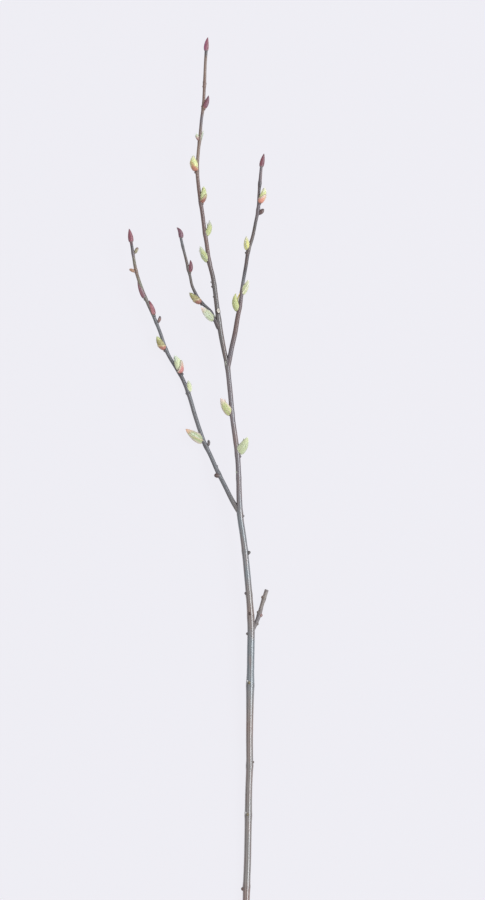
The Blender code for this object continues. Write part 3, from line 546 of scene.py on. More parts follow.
def stationsOf(stem):
    # a smooth curve through the route's points, each station a place, a half width and its distance along
    rows = [Vector(point) for point in stem["route"]]
    gaps = [(b.xyz - a.xyz).length for a, b in zip(rows, rows[1:])]
    chords = [(b - a) / gap for a, b, gap in zip(rows, rows[1:], gaps)]
    slopes = [chords[0]]
    for before, after, gapBefore, gapAfter in zip(chords, chords[1:], gaps, gaps[1:]):
        slopes.append((before * gapAfter + after * gapBefore) / (gapBefore + gapAfter))
    slopes.append(chords[-1])
    samples = []
    for index, gap in enumerate(gaps):
        steps = max(1, round(gap / stem["step"]))
        start, end = rows[index], rows[index + 1]
        leave, arrive = slopes[index] * gap, slopes[index + 1] * gap
        for step in range(steps):
            u = step / steps
            samples.append(start * (2 * u**3 - 3 * u**2 + 1) + leave * (u**3 - 2 * u**2 + u)
                           + end * (3 * u**2 - 2 * u**3) + arrive * (u**3 - u**2))
    samples.append(rows[-1])
    stations = []
    along = 0.0
    for index, row in enumerate(samples):
        if index:
            along += (row.xyz - samples[index - 1].xyz).length
        half = row.w / 2
        for y, rise, reach, dark in stem["swells"]:
            half += rise * math.exp(-(((row.y - y) / reach) ** 2))
        stations.append((row.xyz, half, along))
    return stations


def barkTint(stem, y):
    stops = stem["colours"]
    if y <= stops[0][0]:
        return hues[stops[0][1]]
    for (low, first), (high, second) in zip(stops, stops[1:]):
        if y <= high:
            return blend(hues[first], hues[second], (y - low) / (high - low))
    return hues[stops[-1][1]]


def seatAt(stations, y, side, roll):
    below, above = stations[-2], stations[-1]
    for first, second in zip(stations, stations[1:]):
        if first[0].y <= y < second[0].y:
            below, above = first, second
            break
    share = min(1.0, (y - below[0].y) / (above[0].y - below[0].y))
    centre = below[0].lerp(above[0], share)
    half = below[1] + (above[1] - below[1]) * share
    along = (above[0] - below[0]).normalized()
    right = along.cross(up).normalized()
    lift = right.cross(along)
    angle = math.radians(roll)
    out = right * (side * math.cos(angle)) + lift * math.sin(angle)
    over = lift * math.cos(angle) - right * (side * math.sin(angle))
    return {"centre": centre, "half": half, "along": along, "out": out, "over": over, "y": y}


def growthLine(seat, root, length, lean, hook, count=24):
    place = seat["centre"] + seat["out"] * root
    line = []
    for step in range(count + 1):
        angle = math.radians(lean + hook * step / count)
        ahead = seat["along"] * math.cos(angle) + seat["out"] * math.sin(angle)
        away = seat["out"] * math.cos(angle) - seat["along"] * math.sin(angle)
        line.append((place.copy(), ahead, away))
        place += ahead * (length / count)
    return line


def onLine(line, t):
    spot = min(max(t, 0.0), 1.0) * (len(line) - 1)
    index = min(int(spot), len(line) - 2)
    return [a.lerp(b, spot - index) for a, b in zip(line[index], line[index + 1])]


def swollen(t, profile):
    belly, point = profile
    rise = point * belly / (1.0 - belly)
    full = belly**rise * (1.0 - belly) ** point
    t = min(max(t, 0.0), 1.0)
    return t**rise * (1.0 - t) ** point / full


# shells that growth is added to

floatMarks = ("share", "across", "rim", "scar", "pale")
vectorMarks = ("barkCoord", "flow", "tint")


def newShell():
    shell = bmesh.new()
    for name in floatMarks:
        shell.verts.layers.float.new(name)
    for name in vectorMarks:
        shell.verts.layers.float_vector.new(name)
    return shell


def addPoint(shell, place, marks):
    point = shell.verts.new(place * mm)
    for name, value in marks.items():
        layers = shell.verts.layers.float_vector if name in vectorMarks else shell.verts.layers.float
        point[layers[name]] = value
    return point


def joinRows(shell, rows, around=True):
    # faces between neighbouring rows; a row of one point is a pole
    for lower, upper in zip(rows, rows[1:]):
        sides = max(len(lower), len(upper))
        for side in range(sides if around else sides - 1):
            following = (side + 1) % sides
            if len(lower) == 1:
                shell.faces.new((lower[0], upper[following], upper[side]))
            elif len(upper) == 1:
                shell.faces.new((lower[side], lower[following], upper[0]))
            else:
                shell.faces.new((lower[side], lower[following], upper[following], upper[side]))


lengthUnits = 12  # the length of every growth in barkCoord


def aroundLine(seat, away, radius, turn, t):
    # how far a point stands off the growth's line, and where it lies in the grain
    x, y = radius * math.cos(turn), radius * math.sin(turn)
    return away * x + seat["over"] * y, Vector((x, y, t * lengthUnits + seat["y"]))


def addRings(shell, sides, order, poles, pointAt):
    # a closed skin of rings, of which the poles are a single point
    rows = []
    for layer, ring in order:
        turns = [2 * math.pi * side / sides for side in range(1 if ring in poles else sides)]
        rows.append([addPoint(shell, *pointAt(layer, ring, turn)) for turn in turns])
    joinRows(shell, rows)


def outAndBack(rings):
    # the front of a thin body from its pole to the rim, and then its back
    return [(0, ring) for ring in range(rings + 1)] + [(1, ring) for ring in range(rings, -1, -1)]


def addRound(shell, seat, line, width, profile, sides, rings, tint, shape=None, end=1.0, marks=None):
    # a closed body of rings on a growth's line; shape gives each point's share of the full radius
    def pointAt(layer, ring, turn):
        t = 0.5 - 0.5 * math.cos(math.pi * ring / rings)
        place, ahead, away = onLine(line, min(t, end))
        size = 0.0 if ring in (0, rings) else swollen(t, profile) * width / 2
        offset, local = aroundLine(seat, away, size * (shape(t, turn) if shape else 1.0), turn, t)
        return place + offset, dict(marks or {}, share=t, flow=ahead, barkCoord=local, tint=tint(t, turn))
    addRings(shell, sides, [(0, ring) for ring in range(rings + 1)], (0, rings), pointAt)


bladeShape = {"profile": (0.31, 0.82), "foot": 0.05, "tip": 0.99, "thick": 0.34, "columns": 12, "rows": 42,
              "teeth": 0.05, "rib": 0.13, "ribWide": 0.13, "vein": 0.03, "veins": 8.0, "wave": 0.15}


def addBlade(shell, seat, line, width, turn, cup, tint, form=bladeShape):
    # a thin closed blade, its back outwards at a turn of 0, with midrib, side veins and fine teeth
    over = seat["over"]
    face = math.radians(turn)
    curl = math.radians(cup) / 2
    columns, rows = form["columns"], form["rows"]
    grids = ([], [])
    for row in range(rows + 1):
        t = row / rows
        place, ahead, away = onLine(line, t)
        back = away * math.cos(face) + over * math.sin(face)
        sideways = over * math.cos(face) - away * math.sin(face)
        half = width / 2 * swollen(form["foot"] + (form["tip"] - form["foot"]) * t, form["profile"])
        saw = (row % 3) / 2 - 0.5
        pair = ([], [])
        for column in range(columns + 1):
            across = 2 * column / columns - 1
            reach = half * (1 + form["teeth"] * saw) if abs(across) > 0.99 else half
            bend = curl * across
            rib = form["rib"] * math.exp(-((across / form["ribWide"]) ** 2)) * (1 - 0.7 * t)
            phase = t * form["veins"] - abs(across) * veinSlant
            vein = form["vein"] * max(0.0, math.cos(2 * math.pi * phase)) ** 6
            wave = form["wave"] * across**2 * math.sin(17 * t + 3 * across + seat["y"])
            wave *= min(1.0, half / 1.5)
            middle = place + sideways * (reach * math.sin(bend) / math.sin(curl))
            middle += back * (reach * (math.cos(bend) - math.cos(curl)) / math.sin(curl) + wave)
            normal = back * math.cos(bend) + sideways * math.sin(bend)
            thick = form["thick"] * (1 - 0.6 * abs(across) ** 3) * (1 - 0.5 * t**4)
            local = Vector((across * half, seat["y"] + turn * 0.1, t * lengthUnits))
            for inner, shift in ((0, thick / 2 + rib + vein), (1, -thick / 2 + 0.5 * rib)):
                own = {"share": t, "across": across, "flow": ahead, "barkCoord": local,
                       "tint": tint(t, across, inner)}
                pair[inner].append(addPoint(shell, middle + normal * shift, own))
        for grid, points in zip(grids, pair):
            grid.append(points)
    for grid in grids:
        joinRows(shell, grid, around=False)
    for column in (0, columns):
        joinRows(shell, [[grid[row][column] for row in range(rows + 1)] for grid in grids], around=False)
    for row in (0, rows):
        joinRows(shell, [grids[0][row], grids[1][row]], around=False)


cupForm = {"sides": 30, "rings": 14, "thick": 0.34, "gap": 0.16, "inside": 0.03, "flare": 0.5,
           "ragged": 0.12, "facing": -22.0, "slope": 2.2}


def addCup(shell, seat, line, width, profile, rim, flare, facing, tint):
    # the scale round an opening bud: a closed thin cup, higher on the side that the bud has pushed it to
    aim = math.radians(facing)
    rings = cupForm["rings"]

    def pointAt(layer, ring, turn):
        share = ring / rings
        lean = 0.5 + 0.5 * math.cos(turn - aim)
        high = rim[1] + (rim[0] - rim[1]) * lean ** cupForm["slope"]
        edge = Vector((1.6 * math.cos(turn), 1.6 * math.sin(turn), seat["y"]))
        high *= 1 + cupForm["ragged"] * noise.noise(edge)
        t = cupForm["inside"] * layer + high * share
        place, ahead, away = onLine(line, t)
        size = 0.0
        if ring:
            size = swollen(t, profile) * width / 2
            size += cupForm["gap"] - layer * cupForm["thick"] * (1 - 0.55 * share)
            size += flare * lean * share**3
        offset, local = aroundLine(seat, away, size, turn, t)
        return place + offset, {"share": share, "rim": ease(share, 0.7, 1.0), "flow": ahead,
                                "barkCoord": local, "tint": tint(share, turn)}
    addRings(shell, cupForm["sides"], outAndBack(rings), (0,), pointAt)


# what grows on the stems

budForm = {"tipSink": 0.09, "profile": (0.28, 0.82), "sides": 26, "rings": 30, "seam": 0.13, "collar": 0.07,
           "flat": 0.92, "rib": 0.012, "footEnd": 0.16, "beakStart": 0.74}


def budShape(t, turn):
    # one cap-like scale: a collar at its foot, a seam that faces the stem, fine ribs, flatter from above
    seam = budForm["seam"] * math.exp(-((abs(turn - math.pi) / 0.2) ** 2)) * min(1.0, t * 4) * (1 - t)
    collar = budForm["collar"] * math.exp(-(((t - 0.08) / 0.03) ** 2))
    flat = 1 - (1 - budForm["flat"]) * math.sin(turn) ** 2
    return flat * (1 + collar - seam + budForm["rib"] * math.sin(9 * turn))


def budTint(looks):
    body, streak = hues[looks["body"]], hues[looks.get("streak", looks["body"])]
    foot = hues[looks.get("foot", "woodGrey")]
    beak = blend(body, hues["deepMaroon"], 0.5)
    aim = math.radians(looks.get("streakTurn", 90))

    def tint(t, turn):
        away = math.atan2(math.sin(turn - aim), math.cos(turn - aim))
        colour = blend(body, streak, 0.85 * math.exp(-((away / 0.7) ** 2)) * (1 - ease(t, 0.6, 0.95)))
        colour = blend(foot, colour, ease(t, 0.02, budForm["footEnd"]))
        return blend(colour, beak, ease(t, budForm["beakStart"], 1.0))
    return tint


def addBud(shells, seat, line, width, looks):
    addRound(shells["Buds"], seat, line, width, budForm["profile"], budForm["sides"], budForm["rings"],
             budTint(looks), budShape)


def growTipBud(shells, seat, length, width, lean, hook, looks):
    sunk = dict(seat, centre=seat["centre"] - seat["along"] * (length * budForm["tipSink"]))
    line = growthLine(sunk, 0.0, length * (1 + budForm["tipSink"]), lean, hook)
    addBud(shells, seat, line, width, looks)


def growClosedBud(shells, seat, length, width, lean, hook, looks):
    line = growthLine(seat, seat["half"] * 0.5, length, lean, hook)
    addBud(shells, seat, line, width, looks)
    addCushion(shells, seat, width)


def addCushion(shells, seat, width):
    # the low leaf cushion under a bud, in the bark's own colour
    low = dict(seat, centre=seat["centre"] - seat["along"] * 1.4)
    line = growthLine(low, seat["half"] - 1.5, 2.3, 52, -30)
    addRound(shells["Knots"], low, line, width * 0.72, (0.5, 0.6), 14, 10, lambda t, turn: seat["bark"],
             marks={"scar": 0.25})


rolledForm = dict(bladeShape, thick=0.22, rib=0.03, vein=0.01, wave=0.02, teeth=0.0, veins=11.0, rows=34,
                  profile=(0.36, 0.7))
openForm = {"bodyWidth": 0.92, "profile": (0.36, 0.72), "skip": 0.13, "core": 0.95, "heart": 0.98,
            "cup": 150, "flush": 0.55,
            "facings": ((10, 1.0, 0, 0.94), (190, 0.93, -3, 0.94), (100, 0.97, 2, 1.08))}


def growOpenBud(shells, seat, length, width, lean, hook, looks):
    # young leaves still rolled round one another, that start inside the cup of the scale they have opened
    root = seat["half"] * 0.5
    line = growthLine(seat, root, length, lean, hook)
    slim = width * openForm["bodyWidth"]
    colours = [hues[name] for name in looks["leaves"]]
    tip, scale, foot = hues[looks["tip"]], hues[looks["scale"]], hues[looks.get("foot", "rust")]
    paler = blend(scale, colours[0], 0.7)
    skip = openForm["skip"]
    inside = dict(seat, centre=seat["centre"] + onLine(line, skip)[0] - line[0][0])

    def tight(share, apart=0):
        return growthLine(inside, root, length * (share - skip), lean + hook * skip + apart,
                          hook * (1 - skip))

    def cupTint(share, turn):
        return blend(blend(foot, scale, ease(share, 0.0, 0.35)), paler, ease(share, 0.55, 1.0))

    addRound(shells["Tips"], seat, tight(openForm["core"]), slim * openForm["heart"], openForm["profile"],
             16, 20, lambda t, turn: blend(colours[2], tip, ease(t, 0.6, 1.0)))
    for colour, (facing, share, apart, swell) in zip(colours, openForm["facings"]):
        flushed = blend(colour, scale, openForm["flush"])

        def bladeTint(t, across, inner):
            return blend(blend(flushed, colour, ease(t, 0.1, 0.42)), tip, 0.8 * ease(t, 0.62, 1.0))
        addBlade(shells["Tips"], seat, tight(share, apart), slim * swell, facing, openForm["cup"],
                 bladeTint, rolledForm)
    addCup(shells["Buds"], seat, line, width * 0.9, openForm["profile"], looks["rim"],
           looks.get("flare", cupForm["flare"]), looks.get("facing", cupForm["facing"]), cupTint)
    addCushion(shells, seat, width * 0.8)


leafForm = {"cup": 80, "heart": 0.42}


def leafTint(body, edge, tip):
    def tint(t, across, inner):
        colour = blend(body, edge, 0.75 * ease(abs(across), 0.45, 1.0))
        colour = blend(colour, hues["silver"], 0.25 * inner)
        return blend(colour, tip, 0.9 * ease(t, 0.55, 0.95))
    return tint


def growLeaf(shells, seat, length, width, lean, hook, looks):
    root = seat["half"] * 0.4
    line = growthLine(seat, root, length, lean, hook)
    body, edge, tip = (hues[looks[part]] for part in ("body", "edge", "tip"))
    more = looks.get("more", ())
    if len(more) > 1:
        addRound(shells["Tips"], seat, line, width * leafForm["heart"], (0.36, 1.0), 14, 20,
                 lambda t, turn: blend(body, hues["silver"], 0.4))
    addBlade(shells["Leaves"], seat, line, width, looks["turn"], looks.get("cup", leafForm["cup"]),
             leafTint(body, edge, tip))
    for lengthShare, widthShare, apart, turn, cup, colour, end in more:
        other = growthLine(seat, root, length * lengthShare, lean + apart, hook)
        addBlade(shells["Leaves"], seat, other, width * widthShare, looks["turn"] + turn, cup,
                 leafTint(hues[colour], edge, hues[end]))
    addCushion(shells, seat, width * 0.55)


def knobShape(seed, rough):
    def shape(t, turn):
        place = Vector((math.cos(turn) * 1.3, math.sin(turn) * 1.3, t * 4.0 + seed))
        return 1 + rough * noise.noise(place) + rough * 0.5 * noise.noise(place * 2.7)
    return shape


def growPeg(shells, seat, length, width, lean, hook, looks):
    # a short side growth that came to nothing: a wrinkled stub with a rounded end
    line = growthLine(seat, seat["half"] * 0.3, length, lean, hook)
    body, tip = hues[looks["body"]], hues[looks["tip"]]
    addRound(shells["Knots"], seat, line, width, (0.55, 0.42), 16, 22,
             lambda t, turn: blend(blend(seat["bark"], body, ease(t, 0.1, 0.4)), tip, ease(t, 0.65, 1.0)),
             knobShape(seat["y"], 0.2))


def growNub(shells, seat, length, width, lean, hook, looks):
    # half of a nub stands in the bark, and one that lies along the stem is sunk by less
    line = growthLine(seat, seat["half"] - length * 0.5 * min(1.0, 0.05 + lean / 40), length, lean, hook)
    body = hues[looks["body"]]
    addRound(shells["Knots"], seat, line, width, (0.5, 0.5), 16, 14,
             lambda t, turn: blend(seat["bark"], body, 0.85), knobShape(seat["y"], 0.16),
             marks={"scar": looks["scar"]})


stubForm = {"profile": (0.6, 0.3), "end": 0.9, "face": 0.93, "oval": 0.45, "wide": 0.30, "tall": 0.56,
            "thick": 0.3, "age": 0.5}


def growCutStub(shells, seat, length, width, lean, hook, looks):
    # a side shoot cut off close to the stem: a low oval collar with a pale weathered face
    line = growthLine(seat, seat["half"] * 0.3, length, lean, hook)
    rough = knobShape(seat["y"], 0.08)
    addRound(shells["Knots"], seat, line, width, stubForm["profile"], 24, 20,
             lambda t, turn: hues[looks["body"]],
             lambda t, turn: rough(t, turn) * (1 + stubForm["oval"] * math.cos(turn) ** 2),
             end=stubForm["end"], marks={"scar": 0.3})
    place, ahead, away = onLine(line, stubForm["face"])
    addWoodDisc(shells["Wood"], place, ahead, seat["over"], width * stubForm["wide"],
                width * stubForm["tall"], stubForm["thick"], stubForm["age"])


growers = {"tipBud": growTipBud, "closedBud": growClosedBud, "openBud": growOpenBud, "leaf": growLeaf,
           "peg": growPeg, "nub": growNub, "cutStub": growCutStub}


discForm = {"rings": 9, "sides": 32, "pith": 0.12, "sunk": 0.06, "rough": 0.05}


def addWoodDisc(shell, centre, facing, side, wide, tall, thick, old):
    # a cut face: a thin closed disc that stands a little proud, slightly rough, with a sunk pith
    facing = facing.normalized()
    first = (side - facing * side.dot(facing)).normalized()
    second = facing.cross(first)

    def pointAt(layer, ring, turn):
        share = ring / discForm["rings"]
        flat = Vector((math.cos(turn) * wide * share, math.sin(turn) * tall * share, 0))
        spot = Vector((flat.x * 1.7, flat.y * 1.7, centre.y))
        rough = discForm["rough"] * noise.noise(spot) - discForm["sunk"] * (share < discForm["pith"])
        height = -thick / 2 if layer else thick / 2 * (1 - 0.35 * share**8) + rough
        place = centre + first * flat.x + second * flat.y + facing * height
        pale = old * (0.4 + 0.6 * ease(share, 0.15, 0.6))
        return place, {"barkCoord": flat, "pale": pale, "flow": facing}
    addRings(shell, discForm["sides"], outAndBack(discForm["rings"]), (0,), pointAt)


# node trees that make the bark and the hairs

def openTree(name, **sockets):
    # a node group with a geometry in and out, and inputs by kind
    tree = bpy.data.node_groups.new(name, "GeometryNodeTree")
    for way in ("INPUT", "OUTPUT"):
        tree.interface.new_socket("Geometry", in_out=way, socket_type="NodeSocketGeometry")
    for kind, labels in sockets.items():
        for label in labels:
            tree.interface.new_socket(label, in_out="INPUT", socket_type="NodeSocket" + kind)
    return tree, tree.nodes.new("NodeGroupInput").outputs


def closeTree(tree, geometry):
    tree.links.new(geometry, tree.nodes.new("NodeGroupOutput").inputs[0])
    return tree


def named(tree, name, kind="FLOAT"):
    reader = addNode(tree, "GeometryNodeInputNamedAttribute", {"Name": name}, data_type=kind)
    return reader.outputs["Attribute"]


def stored(tree, geometry, name, value, kind="FLOAT"):
    feeds = {"Geometry": geometry, "Name": name, "Value": value}
    return firstOut(tree, "GeometryNodeStoreNamedAttribute", feeds, data_type=kind, domain="POINT")


def finished(tree, geometry, material):
    # realised, smooth and in its own material
    solid = firstOut(tree, "GeometryNodeRealizeInstances", {"Geometry": geometry})
    smooth = firstOut(tree, "GeometryNodeSetShadeSmooth", {"Geometry": solid})
    return firstOut(tree, "GeometryNodeSetMaterial", {"Geometry": smooth, "Material": material})


def packed(tree, x, y, z):
    return firstOut(tree, "ShaderNodeCombineXYZ", {0: x, 1: y, 2: z})


def sizeByChance(tree, given, label, most):
    feeds = {2: 0.6, 3: most, "Seed": given["Seed"]}
    chance = addNode(tree, "FunctionNodeRandomValue", feeds, data_type="FLOAT").outputs[1]
    return times(tree, times(tree, chance, given[label]), mm)


def scattered(tree, points, instance, pose, wide, long, tall):
    return firstOut(tree, "GeometryNodeInstanceOnPoints", {
        "Points": points, "Instance": instance, "Rotation": pose, "Scale": packed(tree, wide, long, tall)})


def barkTree():
    # a tube of the wanted width round the stem's line, ridged lengthwise, with lenticels scattered on it
    tree, given = openTree("barkSkin", Int=("Sides", "Seed"), Material=("Bark", "Lenticel"), Float=(
        "Ridge Height", "Ridge Across", "Ridge Along", "Lump Height", "Lump Size", "Lenticel Density",
        "Lenticel Size"))
    line = firstOut(tree, "GeometryNodeMeshToCurve", {"Mesh": given["Geometry"]})
    line = firstOut(tree, "GeometryNodeSetCurveNormal", {"Curve": line}, mode="Z_UP")
    line = stored(tree, line, "flow", firstOut(tree, "GeometryNodeInputTangent"), "FLOAT_VECTOR")
    ring = firstOut(tree, "GeometryNodeCurvePrimitiveCircle", {"Resolution": given["Sides"], "Radius": 1.0})
    ring = stored(tree, ring, "around", addNode(tree, "GeometryNodeSplineParameter").outputs["Factor"])
    tube = firstOut(tree, "GeometryNodeCurveToMesh", {
        "Curve": line, "Profile Curve": ring, "Scale": named(tree, "halfWidth"), "Fill Caps": True})
    angle = times(tree, named(tree, "around"), 2 * math.pi)
    wide = maths(tree, "DIVIDE", named(tree, "halfWidth"), mm)
    coord = packed(tree, times(tree, maths(tree, "COSINE", angle), wide),
                   times(tree, maths(tree, "SINE", angle), wide), named(tree, "along"))
    tube = stored(tree, tube, "barkCoord", coord, "FLOAT_VECTOR")
    local = named(tree, "barkCoord", "FLOAT_VECTOR")
    stretch = packed(tree, given["Ridge Across"], given["Ridge Across"], given["Ridge Along"])
    ridge = maths(tree, "SUBTRACT", grain(tree, local, stretch, 3.0, 0.5), 0.5)
    lump = maths(tree, "SUBTRACT", grain(tree, local, given["Lump Size"], 2.0, 0.5), 0.5)
    rise = plus(tree, times(tree, ridge, given["Ridge Height"]), times(tree, lump, given["Lump Height"]))
    normal = firstOut(tree, "GeometryNodeInputNormal")
    offset = vectorMaths(tree, "SCALE", normal, scale=times(tree, rise, mm))
    skin = firstOut(tree, "GeometryNodeSetPosition", {"Geometry": tube, "Offset": offset})
    density = maths(tree, "DIVIDE", given["Lenticel Density"], mm * mm)
    scatter = addNode(tree, "GeometryNodeDistributePointsOnFaces", {
        "Mesh": skin, "Density": density, "Seed": given["Seed"]})
    flow = named(tree, "flow", "FLOAT_VECTOR")
    axes = {"Primary Axis": scatter.outputs["Normal"], "Secondary Axis": flow}
    pose = firstOut(tree, "FunctionNodeAxesToRotation", axes, primary_axis="Z", secondary_axis="Y")
    dot = firstOut(tree, "GeometryNodeMeshIcoSphere", {"Radius": 1.0, "Subdivisions": 2})
    size = sizeByChance(tree, given, "Lenticel Size", 1.5)
    dots = scattered(tree, scatter.outputs["Points"], dot, pose, times(tree, size, 0.55), size,
                     times(tree, size, 0.3))
    whole = tree.nodes.new("GeometryNodeJoinGeometry")
    tree.links.new(finished(tree, dots, given["Lenticel"]), whole.inputs[0])
    tree.links.new(finished(tree, skin, given["Bark"]), whole.inputs[0])
    return closeTree(tree, whole.outputs[0])


def hairTree():
    # fine tapering hairs that lie along the growth, denser towards its tip
    tree, given = openTree("silkyHairs", Int=("Seed",), Material=("Hair",),
                           Float=("Density", "Length", "Thickness", "Lift"))
    share = spread(tree, named(tree, "share"), 0.15, 0.9, 0.4, 1.0)
    density = times(tree, maths(tree, "DIVIDE", given["Density"], mm * mm), share)
    scatter = addNode(tree, "GeometryNodeDistributePointsOnFaces", {
        "Mesh": given["Geometry"], "Density": density, "Seed": given["Seed"]})
    limits = {0: (-0.35, -0.35, -0.35), 1: (0.35, 0.35, 0.35), "Seed": given["Seed"]}
    jitter = firstOut(tree, "FunctionNodeRandomValue", limits, data_type="FLOAT_VECTOR")
    lean = vectorMaths(tree, "SCALE", scatter.outputs["Normal"], scale=given["Lift"])
    ahead = vectorMaths(tree, "ADD", lean, named(tree, "flow", "FLOAT_VECTOR"))
    aim = vectorMaths(tree, "ADD", ahead, jitter)
    pose = firstOut(tree, "FunctionNodeAlignRotationToVector", {"Vector": aim}, axis="Z")
    hair = firstOut(tree, "GeometryNodeMeshCone", {
        "Vertices": 3, "Radius Top": 0.0, "Radius Bottom": 1.0, "Depth": 1.0})
    long = sizeByChance(tree, given, "Length", 1.2)
    thin = times(tree, given["Thickness"], mm)
    hairs = scattered(tree, scatter.outputs["Points"], hair, pose, thin, thin, long)
    return closeTree(tree, finished(tree, hairs, given["Hair"]))


def runTree(thing, tree, values):
    step = thing.modifiers.new(tree.name, "NODES")
    step.node_group = tree
    for item in tree.interface.items_tree:
        if item.item_type == "SOCKET" and item.in_out == "INPUT" and item.name in values:
            step[item.identifier] = values[item.name]
    graph = bpy.context.evaluated_depsgraph_get()
    mesh = bpy.data.meshes.new_from_object(thing.evaluated_get(graph))
    thing.modifiers.remove(step)
    return mesh


# pieces

def placed(name, data):
    thing = bpy.data.objects.new(name, data)
    bpy.context.scene.collection.objects.link(thing)
    return thing


def meshFrom(shell, name):
    mesh = bpy.data.meshes.new(name)
    shell.to_mesh(mesh)
    shell.free()
    return mesh


def addPiece(name, mesh, node, slotName):
    piece = placed(name, mesh)
    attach(piece, "root")
    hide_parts(node)
    return piece


def settle(shell, name, material):
    bmesh.ops.recalc_face_normals(shell, faces=shell.faces)
    mesh = meshFrom(shell, name)
    mesh.shade_smooth()
    mesh.materials.append(material)
    return mesh


ringMarks = {"rise": 0.075, "reach": 0.42, "apart": 1.3, "darkReach": 1.2}
lineWidth = {"over": 0.02, "thin": 1.9, "thick": 2.7, "thinOver": 0.12}


def stemLine(stem, stations):
    # the stem's middle line as a chain of points that carry its width, colour and node rings
    chain = bmesh.new()
    floats = {name: chain.verts.layers.float.new(name) for name in ("halfWidth", "along", "scar")}
    tint = chain.verts.layers.float_vector.new("tint")
    last = None
    for place, half, along in stations:
        scar = 0.0
        ringed = 0.0
        for y, rise, reach, dark in stem["swells"]:
            scar = max(scar, dark * math.exp(-(((place.y - y) / ringMarks["darkReach"]) ** 2)))
            for side in (-ringMarks["apart"], 0.0, ringMarks["apart"]):
                ringed += ringMarks["rise"] * math.exp(-(((place.y - y - side) / ringMarks["reach"]) ** 2))
        slim = 1 - ease(half, lineWidth["thin"], lineWidth["thick"])
        point = chain.verts.new(place * mm)
        point[floats["halfWidth"]] = (half + ringed + lineWidth["over"] + lineWidth["thinOver"] * slim) * mm
        point[floats["along"]] = along
        point[floats["scar"]] = scar
        point[tint] = barkTint(stem, place.y)
        if last:
            chain.edges.new((last, point))
        last = point
    return placed(stem["name"] + "Line", meshFrom(chain, stem["name"] + "Line"))


cutEnd = {"slant": 0.6, "reach": 4.0, "wide": 0.93, "tall": 1.1, "thick": 0.4, "age": 0.1}
snagEnd = {"slant": 0.0, "wide": 0.86, "tall": 0.86, "thick": 0.5, "age": 0.6}
endFaces = {"mainStem": (0, 1, cutEnd), "snag": (-1, -2, snagEnd)}


def addEndFace(shell, stations, end, before, form):
    # the face that closes a stem at one of its ends
    centre, half, along = stations[end]
    facing = (centre - stations[before][0]).normalized() + up * form["slant"]
    addWoodDisc(shell, centre, facing, up, half * form["tall"], half * form["wide"], form["thick"],
                form["age"])


def slantCutEnd(mesh, stations):
    # the cut end leans back as it rises
    centre = stations[0][0]
    for vertex in mesh.vertices:
        run = (vertex.co.y / mm - centre.y) / cutEnd["reach"]
        if run < 1:
            vertex.co.y += cutEnd["slant"] * (vertex.co.z - centre.z * mm) * (1 - max(run, 0.0))


def restOnFloor(mesh):
    for vertex in mesh.vertices:
        vertex.co.z = max(vertex.co.z, 0.0)


skinTree = barkTree()
silkTree = hairTree()
scaleMaterial = scaleFinish("budScaleWax", scaleLook)
leafMaterial = leafFinish("youngLeafGreen", leafLook)
tipMaterial = leafFinish("rolledTipGreen", tipLook)
hairMaterial = hairFinish("silkyHair", hairLook)
woodMaterial = woodFinish("cutWood", woodLook)
corkLook = dict(barkLook, warmShare=0.0, gloss=(0.55, 0.75), bump=0.4, fleck=tone(186, 182, 176),
                coat=(0.0, 0.0), sockets={"Specular IOR Level": 0.3})


def corkFinish(name, look):
    # a lenticel is a paler corky version of the bark round it
    material = barkFinish(name, look)
    tree = material.node_tree
    shader = tree.nodes["Principled BSDF"]
    own = shader.inputs["Base Color"].links[0].from_socket
    tree.links.new(mixColour(tree, 0.3, own, look["fleck"]), shader.inputs["Base Color"])
    tree.links.remove(shader.inputs["Coat Weight"].links[0])
    shader.inputs["Coat Weight"].default_value = 0.0
    return material


lenticelMaterial = corkFinish("lenticelCork", corkLook)
print("willow twig: finishes and node trees made")

hairPlan = {"Leaves": {"Density": 1.3, "Length": 1.4, "Thickness": 0.026, "Lift": 0.45},
            "Tips": {"Density": 0.9, "Length": 1.2, "Thickness": 0.025, "Lift": 0.5}}

for number, stem in enumerate(stems):
    name, node = stem["name"], stem["node"]
    stations = stationsOf(stem)
    barkMaterial = barkFinish(name + "Bark", stem["bark"])
    line = stemLine(stem, stations)
    mesh = runTree(line, skinTree, dict(stem["surface"], Seed=stem["seed"], Sides=stem["sides"],
                                        Bark=barkMaterial, Lenticel=lenticelMaterial))
    bpy.data.objects.remove(line, do_unlink=True)
    if stem is mainStem:
        slantCutEnd(mesh, stations)
    restOnFloor(mesh)
    addPiece(name + "Bark", mesh, node, stem["slot"])

    shells = {group: newShell() for group in ("Buds", "Tips", "Leaves", "Knots", "Wood")}
    for kind, y, side, roll, *form, looks in stem["growth"]:
        seat = dict(seatAt(stations, y, side, roll), bark=barkTint(stem, y))
        growers[kind](shells, seat, *form, looks)
    if name in endFaces:
        addEndFace(shells["Wood"], stations, *endFaces[name])

    finishes = {"Buds": (scaleMaterial, "bud_scale"), "Tips": (tipMaterial, "catkin"),
                "Leaves": (leafMaterial, "young_leaf"), "Knots": (barkMaterial, stem["slot"]),
                "Wood": (woodMaterial, "cut_wood")}
    for group, shell in shells.items():
        if not shell.faces:
            shell.free()
            continue
        material, slotName = finishes[group]
        mesh = settle(shell, name + group, material)
        restOnFloor(mesh)
        piece = addPiece(name + group, mesh, node, slotName)
        if group in hairPlan:
            plan = dict(hairPlan[group], Seed=number * 7 + len(group), Hair=hairMaterial)
            hairs = runTree(piece, silkTree, plan)
            restOnFloor(hairs)
            addPiece(name + group + "Hairs", hairs, node, slotName)
    print("willow twig:", name, "grown")


# floor, light and camera

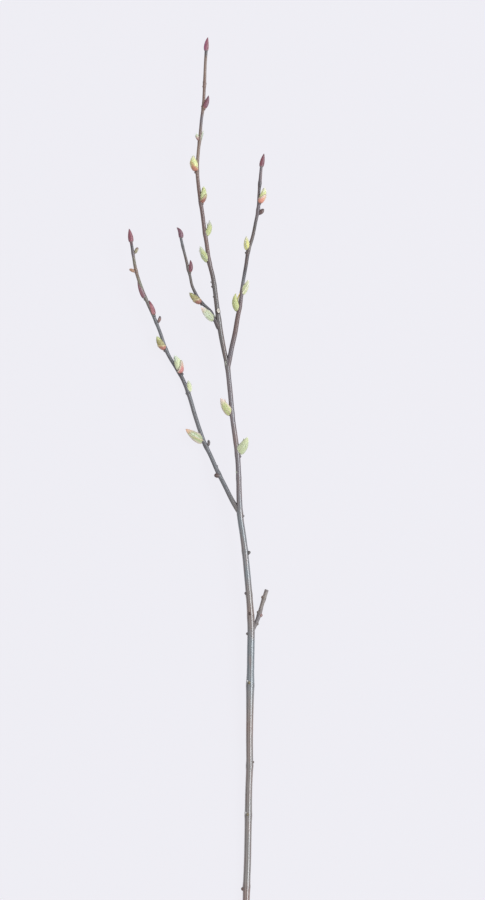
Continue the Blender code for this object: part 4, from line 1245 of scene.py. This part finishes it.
studio = {
    "floor": tone(44, 44, 46), "floorGlow": tone(235, 234, 240), "floorSize": 40.0, "floorDrop": 0.0004,
    "zenith": (0.66, 0.67, 0.69), "horizon": (0.26, 0.27, 0.28),
    "cameraPlace": (0.036, 0.0172, 4.512), "sensor": 36.0, "lens": 225.0, "farthest": 50.0,
}

# each panel of light: name, place, size, power and colour
panels = [
    ("sideWindow", (2.6, 0.2, 2.6), (4.5, 2.0), 146.0, (0.90, 0.96, 1.0)),
    ("softFill", (-2.0, -0.6, 3.2), (2.6, 2.6), 14.0, (1.0, 0.98, 0.96)),
]


def addFloor():
    # a pale plain table top, lit from within like a light table so that the twig throws hardly any shadow
    plate = bmesh.new()
    bmesh.ops.create_grid(plate, x_segments=2, y_segments=2, size=studio["floorSize"] / 2)
    mesh = meshFrom(plate, "paleFloor")
    mesh.materials.append(newFinish("palePaper", {
        "Roughness": 0.9, "Specular IOR Level": 0.0, "Base Color": (*studio["floor"], 1.0),
        "Emission Color": (*studio["floorGlow"], 1.0), "Emission Strength": 1.0})[0])
    floor = placed("paleFloor", mesh)
    floor.location.z = -studio["floorDrop"]


def addSky():
    # brighter overhead than near the horizon
    world = bpy.data.worlds.new("softRoom")
    world.use_nodes = True
    tree = world.node_tree
    direction = addNode(tree, "ShaderNodeTexCoord").outputs["Generated"]
    height = addNode(tree, "ShaderNodeSeparateXYZ", {0: direction}).outputs[2]
    sky = mixColour(tree, spread(tree, height, 0.0, 0.75), studio["horizon"], studio["zenith"])
    tree.links.new(sky, tree.nodes["Background"].inputs["Color"])
    bpy.context.scene.world = world


def addPanel(name, place, size, power, colour):
    light = bpy.data.lights.new(name, "AREA")
    light.shape = "RECTANGLE"
    light.size, light.size_y = size
    light.energy = power
    light.color = colour
    panel = placed(name, light)
    panel.location = place
    panel.rotation_euler = (-Vector(place)).to_track_quat("-Z", "Y").to_euler()


def addCamera():
    camera = bpy.data.cameras.new("overhead")
    camera.sensor_width = studio["sensor"]
    camera.lens = studio["lens"]
    camera.clip_end = studio["farthest"]
    eye = placed("overhead", camera)
    eye.location = studio["cameraPlace"]
    bpy.context.scene.camera = eye
    bpy.context.scene.view_settings.view_transform = "Standard"


addFloor()
addSky()
for panel in panels:
    addPanel(*panel)
addCamera()
print("willow twig: studio set")
